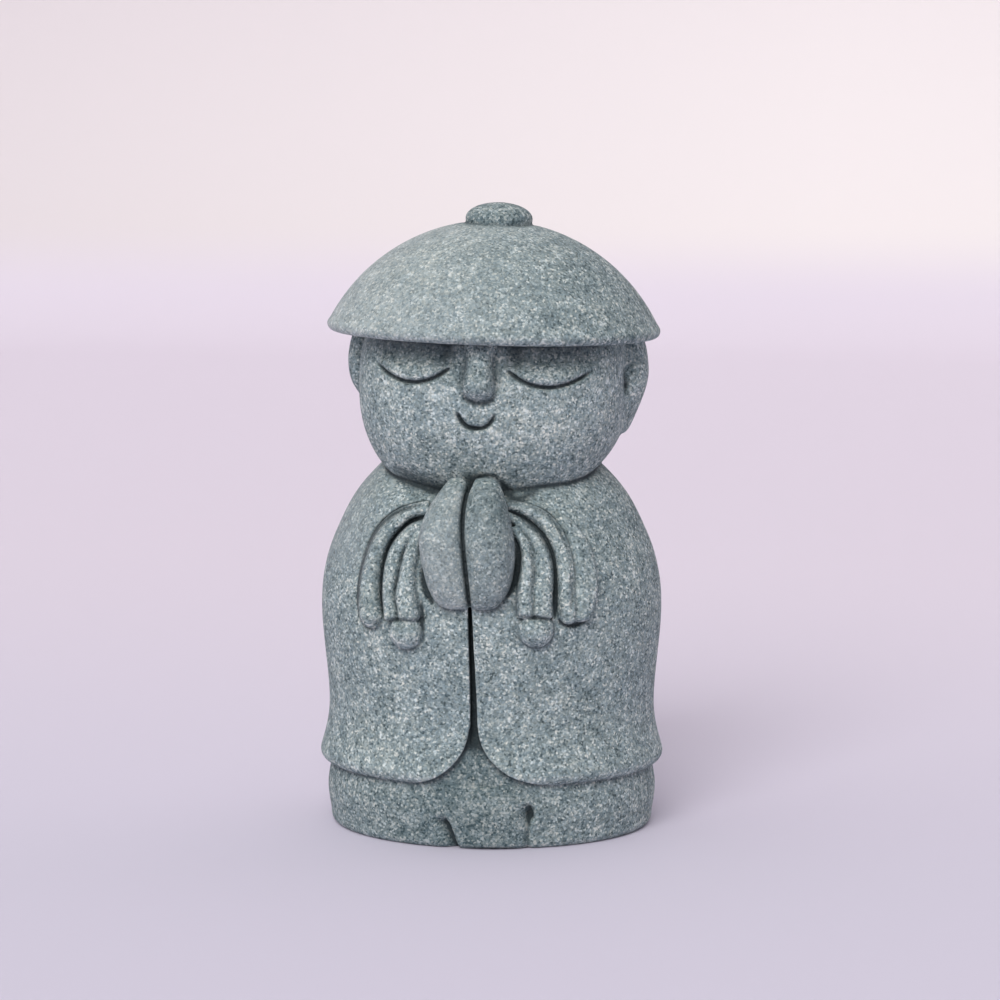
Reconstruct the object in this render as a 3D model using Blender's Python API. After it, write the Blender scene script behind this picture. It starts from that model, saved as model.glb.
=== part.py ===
"""A small monk statuette, standing with pressed hands under a round hat, cast in one piece.

Every size below is in millimetres. The figure stands on z = 0 with its axis on the Z axis and looks
along -Y. Each form is a closed mesh of its own, and Booleans join them into one solid.
"""

import math

import bmesh
import bpy
from mathutils import Matrix, Vector

MM = 0.001  # metres in a millimetre: meshes are shaped in millimetres, then scaled by this

# Driving sizes
TOTAL_HEIGHT = 70.0
DEPTH_SHARE = 0.889  # depth of the robe and base as a share of their width
CUTTERS_FRONT = -25.0  # y in front of the figure, where what cuts into its front starts

# Robe: half width at the shoulders, belly, waist and hem, each with its height
NECK = (42.6, 10.6)
SHOULDER = (38.4, 14.6)
UPPER_ARM = (34.6, 16.85)
ELBOW = (29.8, 18.65)
BELLY = (24.2, 19.2)
WAIST = (13.8, 18.4)
HEM = (8.3, 19.45)
HEM_UNDERSIDE = 7.1
HEM_OVERHANG = 1.2
ROBE_CROWN = 1.5  # how far the middle of the robe's top rises over the neck, inside the head
HEM_HOLLOW = 0.4  # how far the middle of its underside rises

# Under-robe, which shows below the hem and between the front panels
UNDER_ROBE_TOP = (19.0, 17.3)
UNDER_ROBE_NECK = (7.4, 18.25)
UNDER_ROBE_BULGE = (4.2, 18.6)
UNDER_ROBE_FOOT = (1.4, 18.25)
FOOT_ROUNDING = (0.8, 1.0)  # inwards and upwards
UNDER_ROBE_OFFSET = 0.37  # of a facet, so that its edges don't line up with the robe's

# Front opening: the slit, then the two rounded panel corners under it
SLIT = {
    "top": (-0.35, 27.2),
    "bottom": (0.12, 11.6),
    "top_width": 0.4,
    "bottom_width": 1.1,
    "point": 0.6,  # length of its pointed ends
    "swell_at": 0.7,  # how far down it starts to widen, and its width there as a share of the top's
    "swell": 1.3,
    "floor": -15.0,
}
PANEL_CORNERS = {
    "left": {"edge": -0.5, "end": -8.6, "low": 6.9, "high": 13.6},
    "right": {"edge": 0.5, "end": 9.2, "low": 7.1, "high": 13.6},
}
PANEL_SPACE_BACK = -8.0  # the space under the corners reaches back to this y
PANEL_SPACE_BELOW = 1.5  # and this far below the hem
FOOT_NOTCHES = [  # upper and lower end (x, z), width and depth of each notch in the foot
    {"top": (-3.5, 4.0), "bottom": (-1.7, -0.5), "width": 0.9, "depth": 0.9},
    {"top": (5.8, 5.6), "bottom": (5.8, -0.5), "width": 0.9, "depth": 0.8},
]
NOTCH_TOP = 0.15  # size of a notch's upper end as a share of its lower one
NOTCH_LEAN = 0.2  # how far its upper end lies deeper in the stone

# Head, with the ears, face and hat on it: it leans a little to the figure's left, which is +X
HEAD_CENTRE = (0.38, 0.0, 50.0)
HEAD_HALF = (15.0, 14.5, 12.6)
HEAD_SQUARENESS = 2.5
HEAD_LEAN = math.radians(1.5)
EARS = [  # side, how far out it stands, and the heights of its ends over the head's centre
    {"side": -1, "out": 14.8, "low": -2.9, "high": 6.6},
    {"side": 1, "out": 15.1, "low": -5.4, "high": 6.6},
]
EAR_BACK = 2.3
EAR_HALF = (1.9, 4.6)
EAR_TURN = math.radians(8.0)
NOSE = {
    "low": -0.5,
    "high": 6.5,
    "low_half": 1.65,
    "high_half": 2.3,
    "stand": 1.7,
    "bridge": 0.55,  # how far the bridge stands out, as a share of that
    "end_angle": 35.0,  # where the rounding of its lower end starts, in degrees, and how far up it runs
    "end_share": 0.183,
}
EYE = {"half": 4.3, "low": 0.75, "rise": 1.75, "bend": 2.0, "width": 0.5, "depth": 0.45}
EYE_OUT = 7.42
MOUTH = {"half": 2.2, "low": -3.9, "rise": 1.6, "bend": 2.5, "width": 0.6, "depth": 0.5}
MOUTH_OUT = -0.25
GROOVE_ENDS = 0.35  # size of a groove's ends as a share of its middle

# Hat: part of a ball with a rounded rim, and the button on its crown
HAT_RADIUS = 20.56
HAT_CROWN = 18.0  # over the head's centre
HAT_RIM_ANGLE = math.radians(62.6)
HAT_UNDERSIDE = 5.35  # over the head's centre
HAT_RIM = {"inset": 0.45, "radius": 0.85, "start": 40.0}  # its rounding, which starts at this angle
HAT_DEPTH_SHARE = 0.95
HAT_SHIFT = -0.28
BUTTON_RADIUS = 3.75
BUTTON_EDGE = 1.8
BUTTON_FOOT = 0.97  # its radius inside the hat, as a share of the radius above
BUTTON_SUNK = 1.2  # how far it reaches into the hat
BUTTON_TILT = 0.01  # what its top loses in height by the head's lean

# Hands: two mittens side by side, palm to palm, leaning from the chest to the chin.
# Each reaches a little past the split between them, which is cut afterwards.
HANDS = [  # centres of the heel and of the fingertips (x, z), sides, and how blunt the two ends are
    {"heel": (-1.9, 26.7), "tips": (-1.7, 41.3), "sides": (-5.45, 0.0), "blunt": (0.5, 0.8)},
    {"heel": (1.7, 26.7), "tips": (1.75, 41.2), "sides": (4.65, -1.6), "blunt": (0.5, 0.6)},
]
HEEL_Y = -17.0
TIPS_Y = -14.6
HAND_BULGE = 1.35
HAND_HALF_DEPTH = 2.7
HAND_ENDS = 0.06  # where the first section lies on the half turn that rounds the hand off
HAND_CURVE = 1.3  # over 1, the hand leans back mostly near its tips
SPLIT = {
    "line": [(-1.1, 42.0), (-1.05, 36.0), (-0.65, 31.0), (-0.15, 26.0)],
    "width": 0.32,
    "floor": -17.6,
}

# Sleeve folds: each leaves the wrist, arches out and down over the chest, and ends in a rounded tip.
# "wrist" and "low" are the two ends of the arch as (x, z); it runs on straight down to "tip".
SLEEVE_FOLDS = [
    {"wrist": (-4.6, 37.2), "low": (-11.75, 28.0), "tip": 25.6, "widths": (2.1, 3.1), "rise": 1.15},
    {"wrist": (-5.0, 35.4), "low": (-8.0, 31.2), "tip": 25.6, "widths": (2.4, 4.7), "rise": 1.3},
    {"wrist": (3.4, 37.4), "low": (10.15, 28.4), "tip": 26.0, "widths": (2.1, 2.5), "rise": 1.15},
    {"wrist": (6.6, 37.3), "low": (11.9, 29.0), "tip": 26.8, "widths": (1.0, 2.2), "rise": 0.6},
    {"wrist": (3.8, 35.6), "low": (6.75, 31.2), "tip": 26.0, "widths": (2.4, 4.2), "rise": 1.3},
]
FOLD_TIP_ANGLES = (35, 60, 80)  # sections over which a fold's tip rounds off, in degrees
CUFF_BEADS = [{"at": (-7.55, 23.75), "radius": 1.85}, {"at": (6.75, 24.3), "radius": 1.95}]
CUFF_BEAD_HEIGHT = 0.9  # as a share of its radius
CUFF_BEAD_RISE = 1.4

# Facets
ROUND_STEPS = 56
SMALL_STEPS = 28
HEAD_STEPS = (44, 20)
EAR_STEPS = (20, 12)
BEAD_STEPS = (18, 10)
HAND_STEPS = 14
FOLD_STEPS = 10
NOSE_STEPS = 10
GROOVE_STEPS = 6
NOTCH_STEPS = 8
SHARP_ANGLE = math.radians(40.0)

# Reading the surfaces that other forms lie on
SLOPE_STEP = 0.5  # the robe's slope is measured this far above and below
FACE_EDGE = 0.02  # keeps what lies on the face clear of the head's outline

STONE = {"colour": (0.235, 0.275, 0.29, 1.0), "roughness": 0.85}


# Curves


def curve_through(points, steps):
    """Points along a smooth curve through the given ones, as tuples of the same length."""
    ends = [points[0], *points, points[-1]]
    found = []
    for i in range(1, len(ends) - 2):
        before, start, end, after = ends[i - 1 : i + 3]
        for step in range(steps):
            t = step / steps
            found.append(
                tuple(
                    0.5
                    * (
                        2 * b
                        + (c - a) * t
                        + (2 * a - 5 * b + 4 * c - d) * t**2
                        + (3 * b - a - 3 * c + d) * t**3
                    )
                    for a, b, c, d in zip(before, start, end, after)
                )
            )
    return found + [points[-1]]


def arc(centre, radii, start, end, steps):
    """Points (first, second) along part of an ellipse, from one angle to another, in degrees."""
    angles = [math.radians(start + (end - start) * i / steps) for i in range(steps + 1)]
    return [
        (centre[0] + radii[0] * math.cos(angle), centre[1] + radii[1] * math.sin(angle))
        for angle in angles
    ]


def between(start, end, share):
    return start + (end - start) * share


# Meshes


def as_object(mesh, name):
    """Scales a finished bmesh to metres and makes it an object."""
    bmesh.ops.recalc_face_normals(mesh, faces=mesh.faces)
    bmesh.ops.scale(mesh, vec=(MM, MM, MM), verts=mesh.verts)
    data = bpy.data.meshes.new(name)
    mesh.to_mesh(data)
    mesh.free()
    made = bpy.data.objects.new(name, data)
    bpy.context.scene.collection.objects.link(made)
    return made


def turned(outline, depth_share, steps, offset=0.0):
    """A bmesh turned about Z from (half width, height) points that start and end on the axis.

    The first of its steps is that share of a step round from +X, so that two forms' edges don't line up.
    """
    mesh = bmesh.new()
    line = [mesh.verts.new((half_width, 0.0, height)) for half_width, height in outline]
    for start, end in zip(line, line[1:]):
        mesh.edges.new((start, end))
    bmesh.ops.spin(
        mesh,
        geom=mesh.verts[:] + mesh.edges[:],
        cent=(0.0, 0.0, 0.0),
        axis=(0.0, 0.0, 1.0),
        angle=math.tau,
        steps=steps,
        use_merge=True,
    )
    bmesh.ops.remove_doubles(mesh, verts=mesh.verts, dist=1e-4)
    first = Matrix.Rotation(offset * math.tau / steps, 3, "Z")
    bmesh.ops.rotate(mesh, cent=(0.0, 0.0, 0.0), matrix=first, verts=mesh.verts)
    bmesh.ops.scale(mesh, vec=(1.0, depth_share, 1.0), verts=mesh.verts)
    return mesh


def lofted(sections, steps):
    """A bmesh skinned over oval sections, each given as a matrix that places a unit circle."""
    mesh = bmesh.new()
    rings = []
    for placed in sections:
        ring = bmesh.ops.create_circle(mesh, segments=steps, radius=1.0, matrix=placed)["verts"]
        rings.append(ring)
    for ring, following in zip(rings, rings[1:]):
        both = set(ring) | set(following)
        edges = [edge for edge in mesh.edges if set(edge.verts) <= both]
        loops = [edge for edge in edges if (edge.verts[0] in ring) == (edge.verts[1] in ring)]
        bmesh.ops.bridge_loops(mesh, edges=loops)
    for ring in (rings[0], rings[-1]):
        mesh.faces.new(ring)
    return mesh


def extruded(outline, front, back):
    """A bmesh with an outline of (x, z) points, running from one y to another."""
    mesh = bmesh.new()
    face = mesh.faces.new([mesh.verts.new((x, front, z)) for x, z in outline])
    grown = bmesh.ops.extrude_face_region(mesh, geom=[face])["geom"]
    moved = [item for item in grown if isinstance(item, bmesh.types.BMVert)]
    bmesh.ops.translate(mesh, vec=(0.0, back - front, 0.0), verts=moved)
    return mesh


def section(centre, side, out, half_width, half_height):
    """The matrix of an oval section with its width along one direction and its height along another."""
    side = side.normalized()
    out = (out - out.dot(side) * side).normalized()
    along = side.cross(out)
    turned_to = Matrix((side * half_width, out * half_height, along)).transposed().to_4x4()
    return Matrix.Translation(centre) @ turned_to


# Surfaces that other forms lie on


def robe_half_width(height):
    """Half width of the robe at a height, read off its own outline."""
    line = robe_line()
    for (upper_half, upper), (lower_half, lower) in zip(line, line[1:]):
        if lower <= height <= upper:
            return between(lower_half, upper_half, (height - lower) / (upper - lower))
    return line[-1][0]


def robe_front(x, height):
    """The point on the front of the robe at this x and height, and the direction out of it."""
    half_width = robe_half_width(height)
    half_depth = half_width * DEPTH_SHARE
    y = -half_depth * math.sqrt(max(0.0, 1.0 - (x / half_width) ** 2))
    spread = robe_half_width(height - SLOPE_STEP) - robe_half_width(height + SLOPE_STEP)
    slope = spread / (2.0 * SLOPE_STEP) * half_width
    out = Vector((x / half_width**2, y / half_depth**2, slope / half_width**2))
    return Vector((x, y, height)), out.normalized()


def head_front(x, height):
    """The point on the face at this place from the head's centre, and the direction out of it."""
    wide, deep, tall = HEAD_HALF
    power = HEAD_SQUARENESS
    left = 1.0 - abs(x / wide) ** power - abs(height / tall) ** power
    y = -deep * max(left, FACE_EDGE) ** (1.0 / power)

    def slope(value, half):
        return math.copysign(abs(value / half) ** (power - 1.0) / half, value)

    out = Vector((slope(x, wide), slope(y, deep), slope(height, tall)))
    return Vector((x, y, height)), out.normalized()


def on_head(made):
    """Moves an object modelled around the head's centre to its place, with the head's lean."""
    lean = Matrix.Rotation(HEAD_LEAN, 4, "Y")
    made.data.transform(Matrix.Translation(Vector(HEAD_CENTRE) * MM) @ lean)
    return made


# Robe and base


def robe_line():
    """(half width, height) points of the robe's side, from the neck down to the hem."""
    places = [NECK, SHOULDER, UPPER_ARM, ELBOW, BELLY, WAIST, HEM]
    return [(half_width, height) for height, half_width in curve_through(places, 3)]


def make_robe():
    side = robe_line()
    hem_half = side[-1][0]
    lip = arc((hem_half - HEM_OVERHANG, HEM[0]), (HEM_OVERHANG, HEM[0] - HEM_UNDERSIDE), 0, -90, 4)[1:]
    outline = [(0.0, NECK[0] + ROBE_CROWN), *side, *lip, (0.0, HEM_UNDERSIDE + HEM_HOLLOW)]
    return as_object(turned(outline, DEPTH_SHARE, ROUND_STEPS), "robe_form")


def make_panel_corner_cutter():
    """The space between the two front panels, where their lower corners round away from the slit."""
    outline = []
    for side in ("left", "right"):
        corner = PANEL_CORNERS[side]
        centre = (corner["end"], corner["high"])
        radii = (abs(corner["end"] - corner["edge"]), corner["high"] - corner["low"])
        start, end = ((-90, 0) if side == "left" else (180, 270))
        outline += arc(centre, radii, start, end, 8)
    below = HEM_UNDERSIDE - PANEL_SPACE_BELOW
    outline += [(PANEL_CORNERS["right"]["end"], below), (PANEL_CORNERS["left"]["end"], below)]
    return as_object(extruded(outline, CUTTERS_FRONT, PANEL_SPACE_BACK), "panel_corner_cutter")


def make_under_robe():
    places = [UNDER_ROBE_TOP, UNDER_ROBE_NECK, UNDER_ROBE_BULGE, UNDER_ROBE_FOOT]
    side = [(half_width, height) for height, half_width in curve_through(places, 4)]
    inwards, upwards = FOOT_ROUNDING
    rounding = arc((side[-1][0] - inwards, upwards), FOOT_ROUNDING, 0, -90, 4)
    outline = [(0.0, UNDER_ROBE_TOP[0]), *side, *rounding, (0.0, 0.0)]
    return as_object(turned(outline, DEPTH_SHARE, ROUND_STEPS, UNDER_ROBE_OFFSET), "under_robe_form")


def make_slit_cutter():
    (top_x, top), (bottom_x, bottom) = SLIT["top"], SLIT["bottom"]
    top_half, bottom_half, swell_at = SLIT["top_width"] / 2, SLIT["bottom_width"] / 2, SLIT["swell_at"]
    rows = [
        (top_x, top, top_half),
        (between(top_x, bottom_x, swell_at), between(top, bottom, swell_at), top_half * SLIT["swell"]),
        (bottom_x, bottom + SLIT["point"], bottom_half),
    ]
    outline = [(top_x, top + SLIT["point"])]
    outline += [(x + half, height) for x, height, half in rows]
    outline += [(bottom_x, bottom)]
    outline += [(x - half, height) for x, height, half in reversed(rows)]
    return as_object(extruded(outline, CUTTERS_FRONT, SLIT["floor"]), "slit_cutter")


def make_foot_notch(notch, name):
    """A narrow wedge, deepest at the floor, cut into the front of the foot."""
    mesh = bmesh.new()
    bmesh.ops.create_cone(
        mesh, segments=NOTCH_STEPS, radius1=1.0, radius2=NOTCH_TOP, depth=1.0, cap_ends=True
    )
    top = Vector((notch["top"][0], 0.0, notch["top"][1]))
    bottom = Vector((notch["bottom"][0], 0.0, notch["bottom"][1]))
    for end in (top, bottom):
        half_width = UNDER_ROBE_BULGE[1]
        end.y = -half_width * DEPTH_SHARE * math.sqrt(1.0 - (end.x / half_width) ** 2)
    top.y += NOTCH_LEAN
    run = top - bottom
    size = Matrix.Diagonal((notch["width"] / 2, notch["depth"], run.length, 1.0))
    turn = run.to_track_quat("Z", "Y").to_matrix().to_4x4()
    placed = Matrix.Translation((top + bottom) / 2) @ turn @ size
    bmesh.ops.transform(mesh, matrix=placed, verts=mesh.verts)
    return as_object(mesh, name)


# Head and hat


def make_head():
    mesh = bmesh.new()
    around, down = HEAD_STEPS
    bmesh.ops.create_uvsphere(mesh, u_segments=around, v_segments=down, radius=1.0)
    for vert in mesh.verts:
        reach = sum(abs(value) ** HEAD_SQUARENESS for value in vert.co) ** (-1.0 / HEAD_SQUARENESS)
        vert.co = Vector(value * reach * half for value, half in zip(vert.co, HEAD_HALF))
    return on_head(as_object(mesh, "head_form"))


def make_ear(ear):
    mesh = bmesh.new()
    around, down = EAR_STEPS
    bmesh.ops.create_uvsphere(mesh, u_segments=around, v_segments=down, radius=1.0)
    size = Matrix.Diagonal((*EAR_HALF, (ear["high"] - ear["low"]) / 2, 1.0))
    turn = Matrix.Rotation(ear["side"] * EAR_TURN, 4, "Z")
    place = Matrix.Translation((ear["side"] * ear["out"], EAR_BACK, (ear["low"] + ear["high"]) / 2))
    bmesh.ops.transform(mesh, matrix=place @ turn @ size, verts=mesh.verts)
    return on_head(as_object(mesh, f"ear_form_{'left' if ear['side'] < 0 else 'right'}"))


def make_nose():
    """A blunt wedge from under the hat down to a rounded end."""
    sections = []
    steps = 7
    for i in range(steps + 1):
        share = i / steps
        height = between(NOSE["low"], NOSE["high"], share)
        angle = between(NOSE["end_angle"], 90.0, min(1.0, share / NOSE["end_share"]))
        swell = math.sin(math.radians(angle))  # rounds the lower end
        half = between(NOSE["low_half"], NOSE["high_half"], share) * swell
        stand = between(NOSE["stand"], NOSE["stand"] * NOSE["bridge"], share) * swell
        point, out = head_front(0.0, height)
        sections.append(section(point, Vector((1, 0, 0)), Vector((0, -1, 0)), half, stand))
    return on_head(as_object(lofted(sections, NOSE_STEPS), "nose_form"))


def make_face_groove(groove, out_to, name):
    """A tube along a downward arc on the face, which cuts a rounded groove with pointed ends."""
    sections = []
    steps = 10
    for i in range(steps + 1):
        share = 2.0 * i / steps - 1.0
        x = out_to + groove["half"] * share
        height = groove["low"] + groove["rise"] * abs(share) ** groove["bend"]
        point, out = head_front(x, height)
        steepness = groove["bend"] * abs(share) ** (groove["bend"] - 1.0)
        along = Vector((groove["half"], 0.0, math.copysign(groove["rise"] * steepness, share)))
        fade = between(GROOVE_ENDS, 1.0, math.sqrt(1.0 - share**2))
        side = along.cross(out)
        sections.append(section(point, side, out, groove["width"] / 2 * fade, groove["depth"] * fade))
    return on_head(as_object(lofted(sections, GROOVE_STEPS), name))


def make_hat():
    middle = HAT_CROWN - HAT_RADIUS
    rim_angle = 90.0 - math.degrees(HAT_RIM_ANGLE)
    dome = arc((0.0, middle), (HAT_RADIUS, HAT_RADIUS), 90, rim_angle, 9)
    half_width, height = dome[-1]
    rim = (half_width - HAT_RIM["inset"], (height + HAT_UNDERSIDE) / 2)
    rounding = arc(rim, (HAT_RIM["radius"], (height - HAT_UNDERSIDE) / 2), HAT_RIM["start"], -90, 4)
    outline = [(0.0, HAT_CROWN), *dome[1:], *rounding, (0.0, HAT_UNDERSIDE)]
    mesh = turned(outline, HAT_DEPTH_SHARE, ROUND_STEPS)
    bmesh.ops.translate(mesh, vec=(HAT_SHIFT, 0.0, 0.0), verts=mesh.verts)
    return on_head(as_object(mesh, "hat_form"))


def make_button():
    """The button on the crown, which reaches up to the statuette's full height."""
    top = TOTAL_HEIGHT - HEAD_CENTRE[2] + BUTTON_TILT
    foot = HAT_CROWN - BUTTON_SUNK
    edge = arc((0.0, top - BUTTON_EDGE), (BUTTON_RADIUS, BUTTON_EDGE), 90, 0, 5)
    outline = [(0.0, top), *edge[1:], (BUTTON_RADIUS * BUTTON_FOOT, foot), (0.0, foot)]
    return on_head(as_object(turned(outline, 1.0, SMALL_STEPS), "button_form"))


# Hands and sleeves


def make_hand(hand, name):
    """One mitten: a leaf of oval sections from the heel of the hand up to the fingertips."""
    sections = []
    steps = 10
    outer, inner = hand["sides"]
    (heel_x, heel), (tips_x, tips) = hand["heel"], hand["tips"]
    for i in range(steps + 1):
        share = i / steps
        angle = math.pi * between(HAND_ENDS, 1.0 - HAND_ENDS, share)
        fullness = math.sin(angle) ** hand["blunt"][share > 0.5]
        centre = Vector(
            (
                between(between(heel_x, tips_x, share), (outer + inner) / 2, fullness),
                between(HEEL_Y, TIPS_Y, share**HAND_CURVE) - HAND_BULGE * math.sin(angle),
                between(heel, tips, 0.5 - 0.5 * math.cos(angle)),
            )
        )
        half_width = abs(outer - inner) / 2 * fullness
        half_depth = HAND_HALF_DEPTH * fullness
        sections.append(section(centre, Vector((1, 0, 0)), Vector((0, -1, 0)), half_width, half_depth))
    return as_object(lofted(sections, HAND_STEPS), name)


def make_split_cutter():
    """The thin gap between the palms."""
    half = SPLIT["width"] / 2
    outline = [(x - half, height) for x, height in SPLIT["line"]]
    outline += [(x + half, height) for x, height in reversed(SPLIT["line"])]
    return as_object(extruded(outline, CUTTERS_FRONT, SPLIT["floor"]), "split_cutter")


def fold_path(fold):
    """(x, z) points down the middle of a sleeve fold."""
    (wrist_x, wrist), (low_x, low) = fold["wrist"], fold["low"]
    arch = arc((wrist_x, low), (low_x - wrist_x, wrist - low), 90, 0, 6)[:-1]
    return arch + [(low_x, between(low, fold["tip"], i / 2)) for i in range(3)]


def make_sleeve_fold(fold, name):
    path = fold_path(fold)
    sections = []
    for i, (x, height) in enumerate(path):
        before, after = path[max(i - 1, 0)], path[min(i + 1, len(path) - 1)]
        point, out = robe_front(x, height)
        along = robe_front(*after)[0] - robe_front(*before)[0]
        half_width = between(*fold["widths"], i / (len(path) - 1)) / 2
        sections.append((point, along.cross(out), out, half_width, fold["rise"]))
    point, side, out, half_width, rise = sections[-1]
    x, height = path[-1]
    for angle in FOLD_TIP_ANGLES:
        size = math.cos(math.radians(angle))
        point, out = robe_front(x, height - half_width * math.sin(math.radians(angle)))
        sections.append((point, side, out, half_width * size, rise * size))
    return as_object(lofted([section(*each) for each in sections], FOLD_STEPS), name)


def make_bead(bead, name):
    mesh = bmesh.new()
    around, down = BEAD_STEPS
    bmesh.ops.create_uvsphere(mesh, u_segments=around, v_segments=down, radius=1.0)
    point, out = robe_front(*bead["at"])
    turn = out.to_track_quat("Z", "Y").to_matrix().to_4x4()
    size = Matrix.Diagonal((bead["radius"], bead["radius"] * CUFF_BEAD_HEIGHT, CUFF_BEAD_RISE, 1.0))
    bmesh.ops.transform(mesh, matrix=Matrix.Translation(point) @ turn @ size, verts=mesh.verts)
    return as_object(mesh, name)


# The whole


def stone_material():
    made = bpy.data.materials.new("stone")
    made.use_nodes = True
    shader = made.node_tree.nodes["Principled BSDF"]
    shader.inputs["Base Color"].default_value = STONE["colour"]
    shader.inputs["Roughness"].default_value = STONE["roughness"]
    shader.inputs["Metallic"].default_value = 0.0
    return made


def combine(body, other, operation):
    """Adds a Boolean with a helper form to the body, and keeps the helper out of the render."""
    other.hide_render = True
    other.display_type = "WIRE"
    step = body.modifiers.new(f"{operation.lower()}_{other.name}", "BOOLEAN")
    step.operation = operation
    step.solver = "EXACT"
    step.object = other


def main():
    for old in list(bpy.data.objects):
        bpy.data.objects.remove(old, do_unlink=True)

    statuette = make_robe()
    statuette.name = "monk_statuette"
    statuette.data.name = "monk_statuette"
    combine(statuette, make_panel_corner_cutter(), "DIFFERENCE")
    combine(statuette, make_under_robe(), "UNION")
    combine(statuette, make_slit_cutter(), "DIFFERENCE")
    for i, notch in enumerate(FOOT_NOTCHES, 1):
        combine(statuette, make_foot_notch(notch, f"foot_notch_{i}"), "DIFFERENCE")

    combine(statuette, make_head(), "UNION")
    for ear in EARS:
        combine(statuette, make_ear(ear), "UNION")
    combine(statuette, make_nose(), "UNION")
    combine(statuette, make_hat(), "UNION")
    combine(statuette, make_button(), "UNION")
    for i, side in enumerate((-1, 1), 1):
        combine(statuette, make_face_groove(EYE, side * EYE_OUT, f"eye_groove_{i}"), "DIFFERENCE")
    combine(statuette, make_face_groove(MOUTH, MOUTH_OUT, "mouth_groove"), "DIFFERENCE")

    for i, fold in enumerate(SLEEVE_FOLDS, 1):
        combine(statuette, make_sleeve_fold(fold, f"sleeve_fold_{i}"), "UNION")
    for i, bead in enumerate(CUFF_BEADS, 1):
        combine(statuette, make_bead(bead, f"cuff_bead_{i}"), "UNION")
    for i, hand in enumerate(HANDS, 1):
        combine(statuette, make_hand(hand, f"hand_{i}"), "UNION")
    combine(statuette, make_split_cutter(), "DIFFERENCE")

    statuette.data.materials.append(stone_material())
    statuette.data.shade_smooth()
    statuette.data.set_sharp_from_angle(angle=SHARP_ANGLE)


main()
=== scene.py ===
import math

import bmesh
import bpy
import numpy as np
from mathutils import Matrix, Vector


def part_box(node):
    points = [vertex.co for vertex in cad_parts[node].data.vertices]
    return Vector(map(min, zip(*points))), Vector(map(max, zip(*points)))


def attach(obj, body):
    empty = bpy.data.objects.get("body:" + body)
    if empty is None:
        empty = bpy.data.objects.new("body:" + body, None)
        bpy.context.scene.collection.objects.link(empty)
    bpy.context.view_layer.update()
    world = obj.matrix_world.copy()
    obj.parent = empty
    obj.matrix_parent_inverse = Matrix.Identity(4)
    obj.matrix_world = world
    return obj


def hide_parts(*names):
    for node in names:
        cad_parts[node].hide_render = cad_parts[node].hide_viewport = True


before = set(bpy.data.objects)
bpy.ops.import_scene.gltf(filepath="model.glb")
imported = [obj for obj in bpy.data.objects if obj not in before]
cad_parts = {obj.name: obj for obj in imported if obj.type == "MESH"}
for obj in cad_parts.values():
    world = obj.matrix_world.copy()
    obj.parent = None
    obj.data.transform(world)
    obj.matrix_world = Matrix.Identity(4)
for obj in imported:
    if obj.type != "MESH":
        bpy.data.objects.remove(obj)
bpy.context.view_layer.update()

nodeLow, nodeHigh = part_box("monk_statuette")
figureHeight = 70.0
unit = (nodeHigh[2] - nodeLow[2]) / figureHeight  # one millimetre of the figure
print("frame loaded, unit", unit)


# Sizes are in millimetres, with the figure's axis on Z and its face towards -Y

divisions = {  # how finely the forms are divided before the clay takes them up
    "curve": 12, "rows": 6, "around": 200, "lip": 10, "corner": 24, "head": (200, 110), "ear": (64, 40),
    "nose": 40, "dome": 60, "rim": 12, "hat": 220, "button": (20, 90), "hand": 56, "fold": (5, 32),
    "bead": (48, 30), "stroke": 4, "arc": 25,
}


# Curves

def curveThrough(points, steps):
    ends = [points[0], *points, points[-1]]
    found = []
    for i in range(1, len(ends) - 2):
        before, start, end, after = (np.array(p, float) for p in ends[i - 1 : i + 3])
        for step in range(steps):
            t = step / steps
            bend = (2 * before - 5 * start + 4 * end - after) * t ** 2
            turn = (3 * start - before - 3 * end + after) * t ** 3
            found.append(tuple(0.5 * (2 * start + (end - before) * t + bend + turn)))
    return found + [tuple(points[-1])]


def arc(centre, radii, start, end, steps):
    angles = np.radians(np.linspace(start, end, steps + 1))
    return [(centre[0] + radii[0] * math.cos(a), centre[1] + radii[1] * math.sin(a)) for a in angles]


def between(start, end, share):
    return start + (end - start) * share


def smoothStep(low, high, value):
    share = np.clip((value - low) / (high - low), 0.0, 1.0)
    return share * share * (3 - 2 * share)


# Forms

def linked(name, data):
    made = bpy.data.objects.new(name, data)
    bpy.context.scene.collection.objects.link(made)
    return made


def stored(mesh, name):
    data = bpy.data.meshes.new(name)
    mesh.to_mesh(data)
    mesh.free()
    return linked(name, data)


def asObject(mesh, name):
    bmesh.ops.remove_doubles(mesh, verts=mesh.verts, dist=1e-5)
    bmesh.ops.recalc_face_normals(mesh, faces=mesh.faces)
    return stored(mesh, name)


def turned(outline, depthShare, steps, offset=0.0):
    mesh = bmesh.new()
    line = [mesh.verts.new((halfWidth, 0.0, height)) for halfWidth, height in outline]
    for start, end in zip(line, line[1:]):
        mesh.edges.new((start, end))
    axis = {"cent": (0, 0, 0), "axis": (0, 0, 1), "angle": math.tau, "steps": steps}
    bmesh.ops.spin(mesh, geom=mesh.verts[:] + mesh.edges[:], use_merge=True, **axis)
    bmesh.ops.remove_doubles(mesh, verts=mesh.verts, dist=1e-4)
    first = Matrix.Rotation(offset * math.tau / steps, 3, "Z")
    bmesh.ops.rotate(mesh, cent=(0, 0, 0), matrix=first, verts=mesh.verts)
    bmesh.ops.scale(mesh, vec=(1.0, depthShare, 1.0), verts=mesh.verts)
    return mesh


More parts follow.
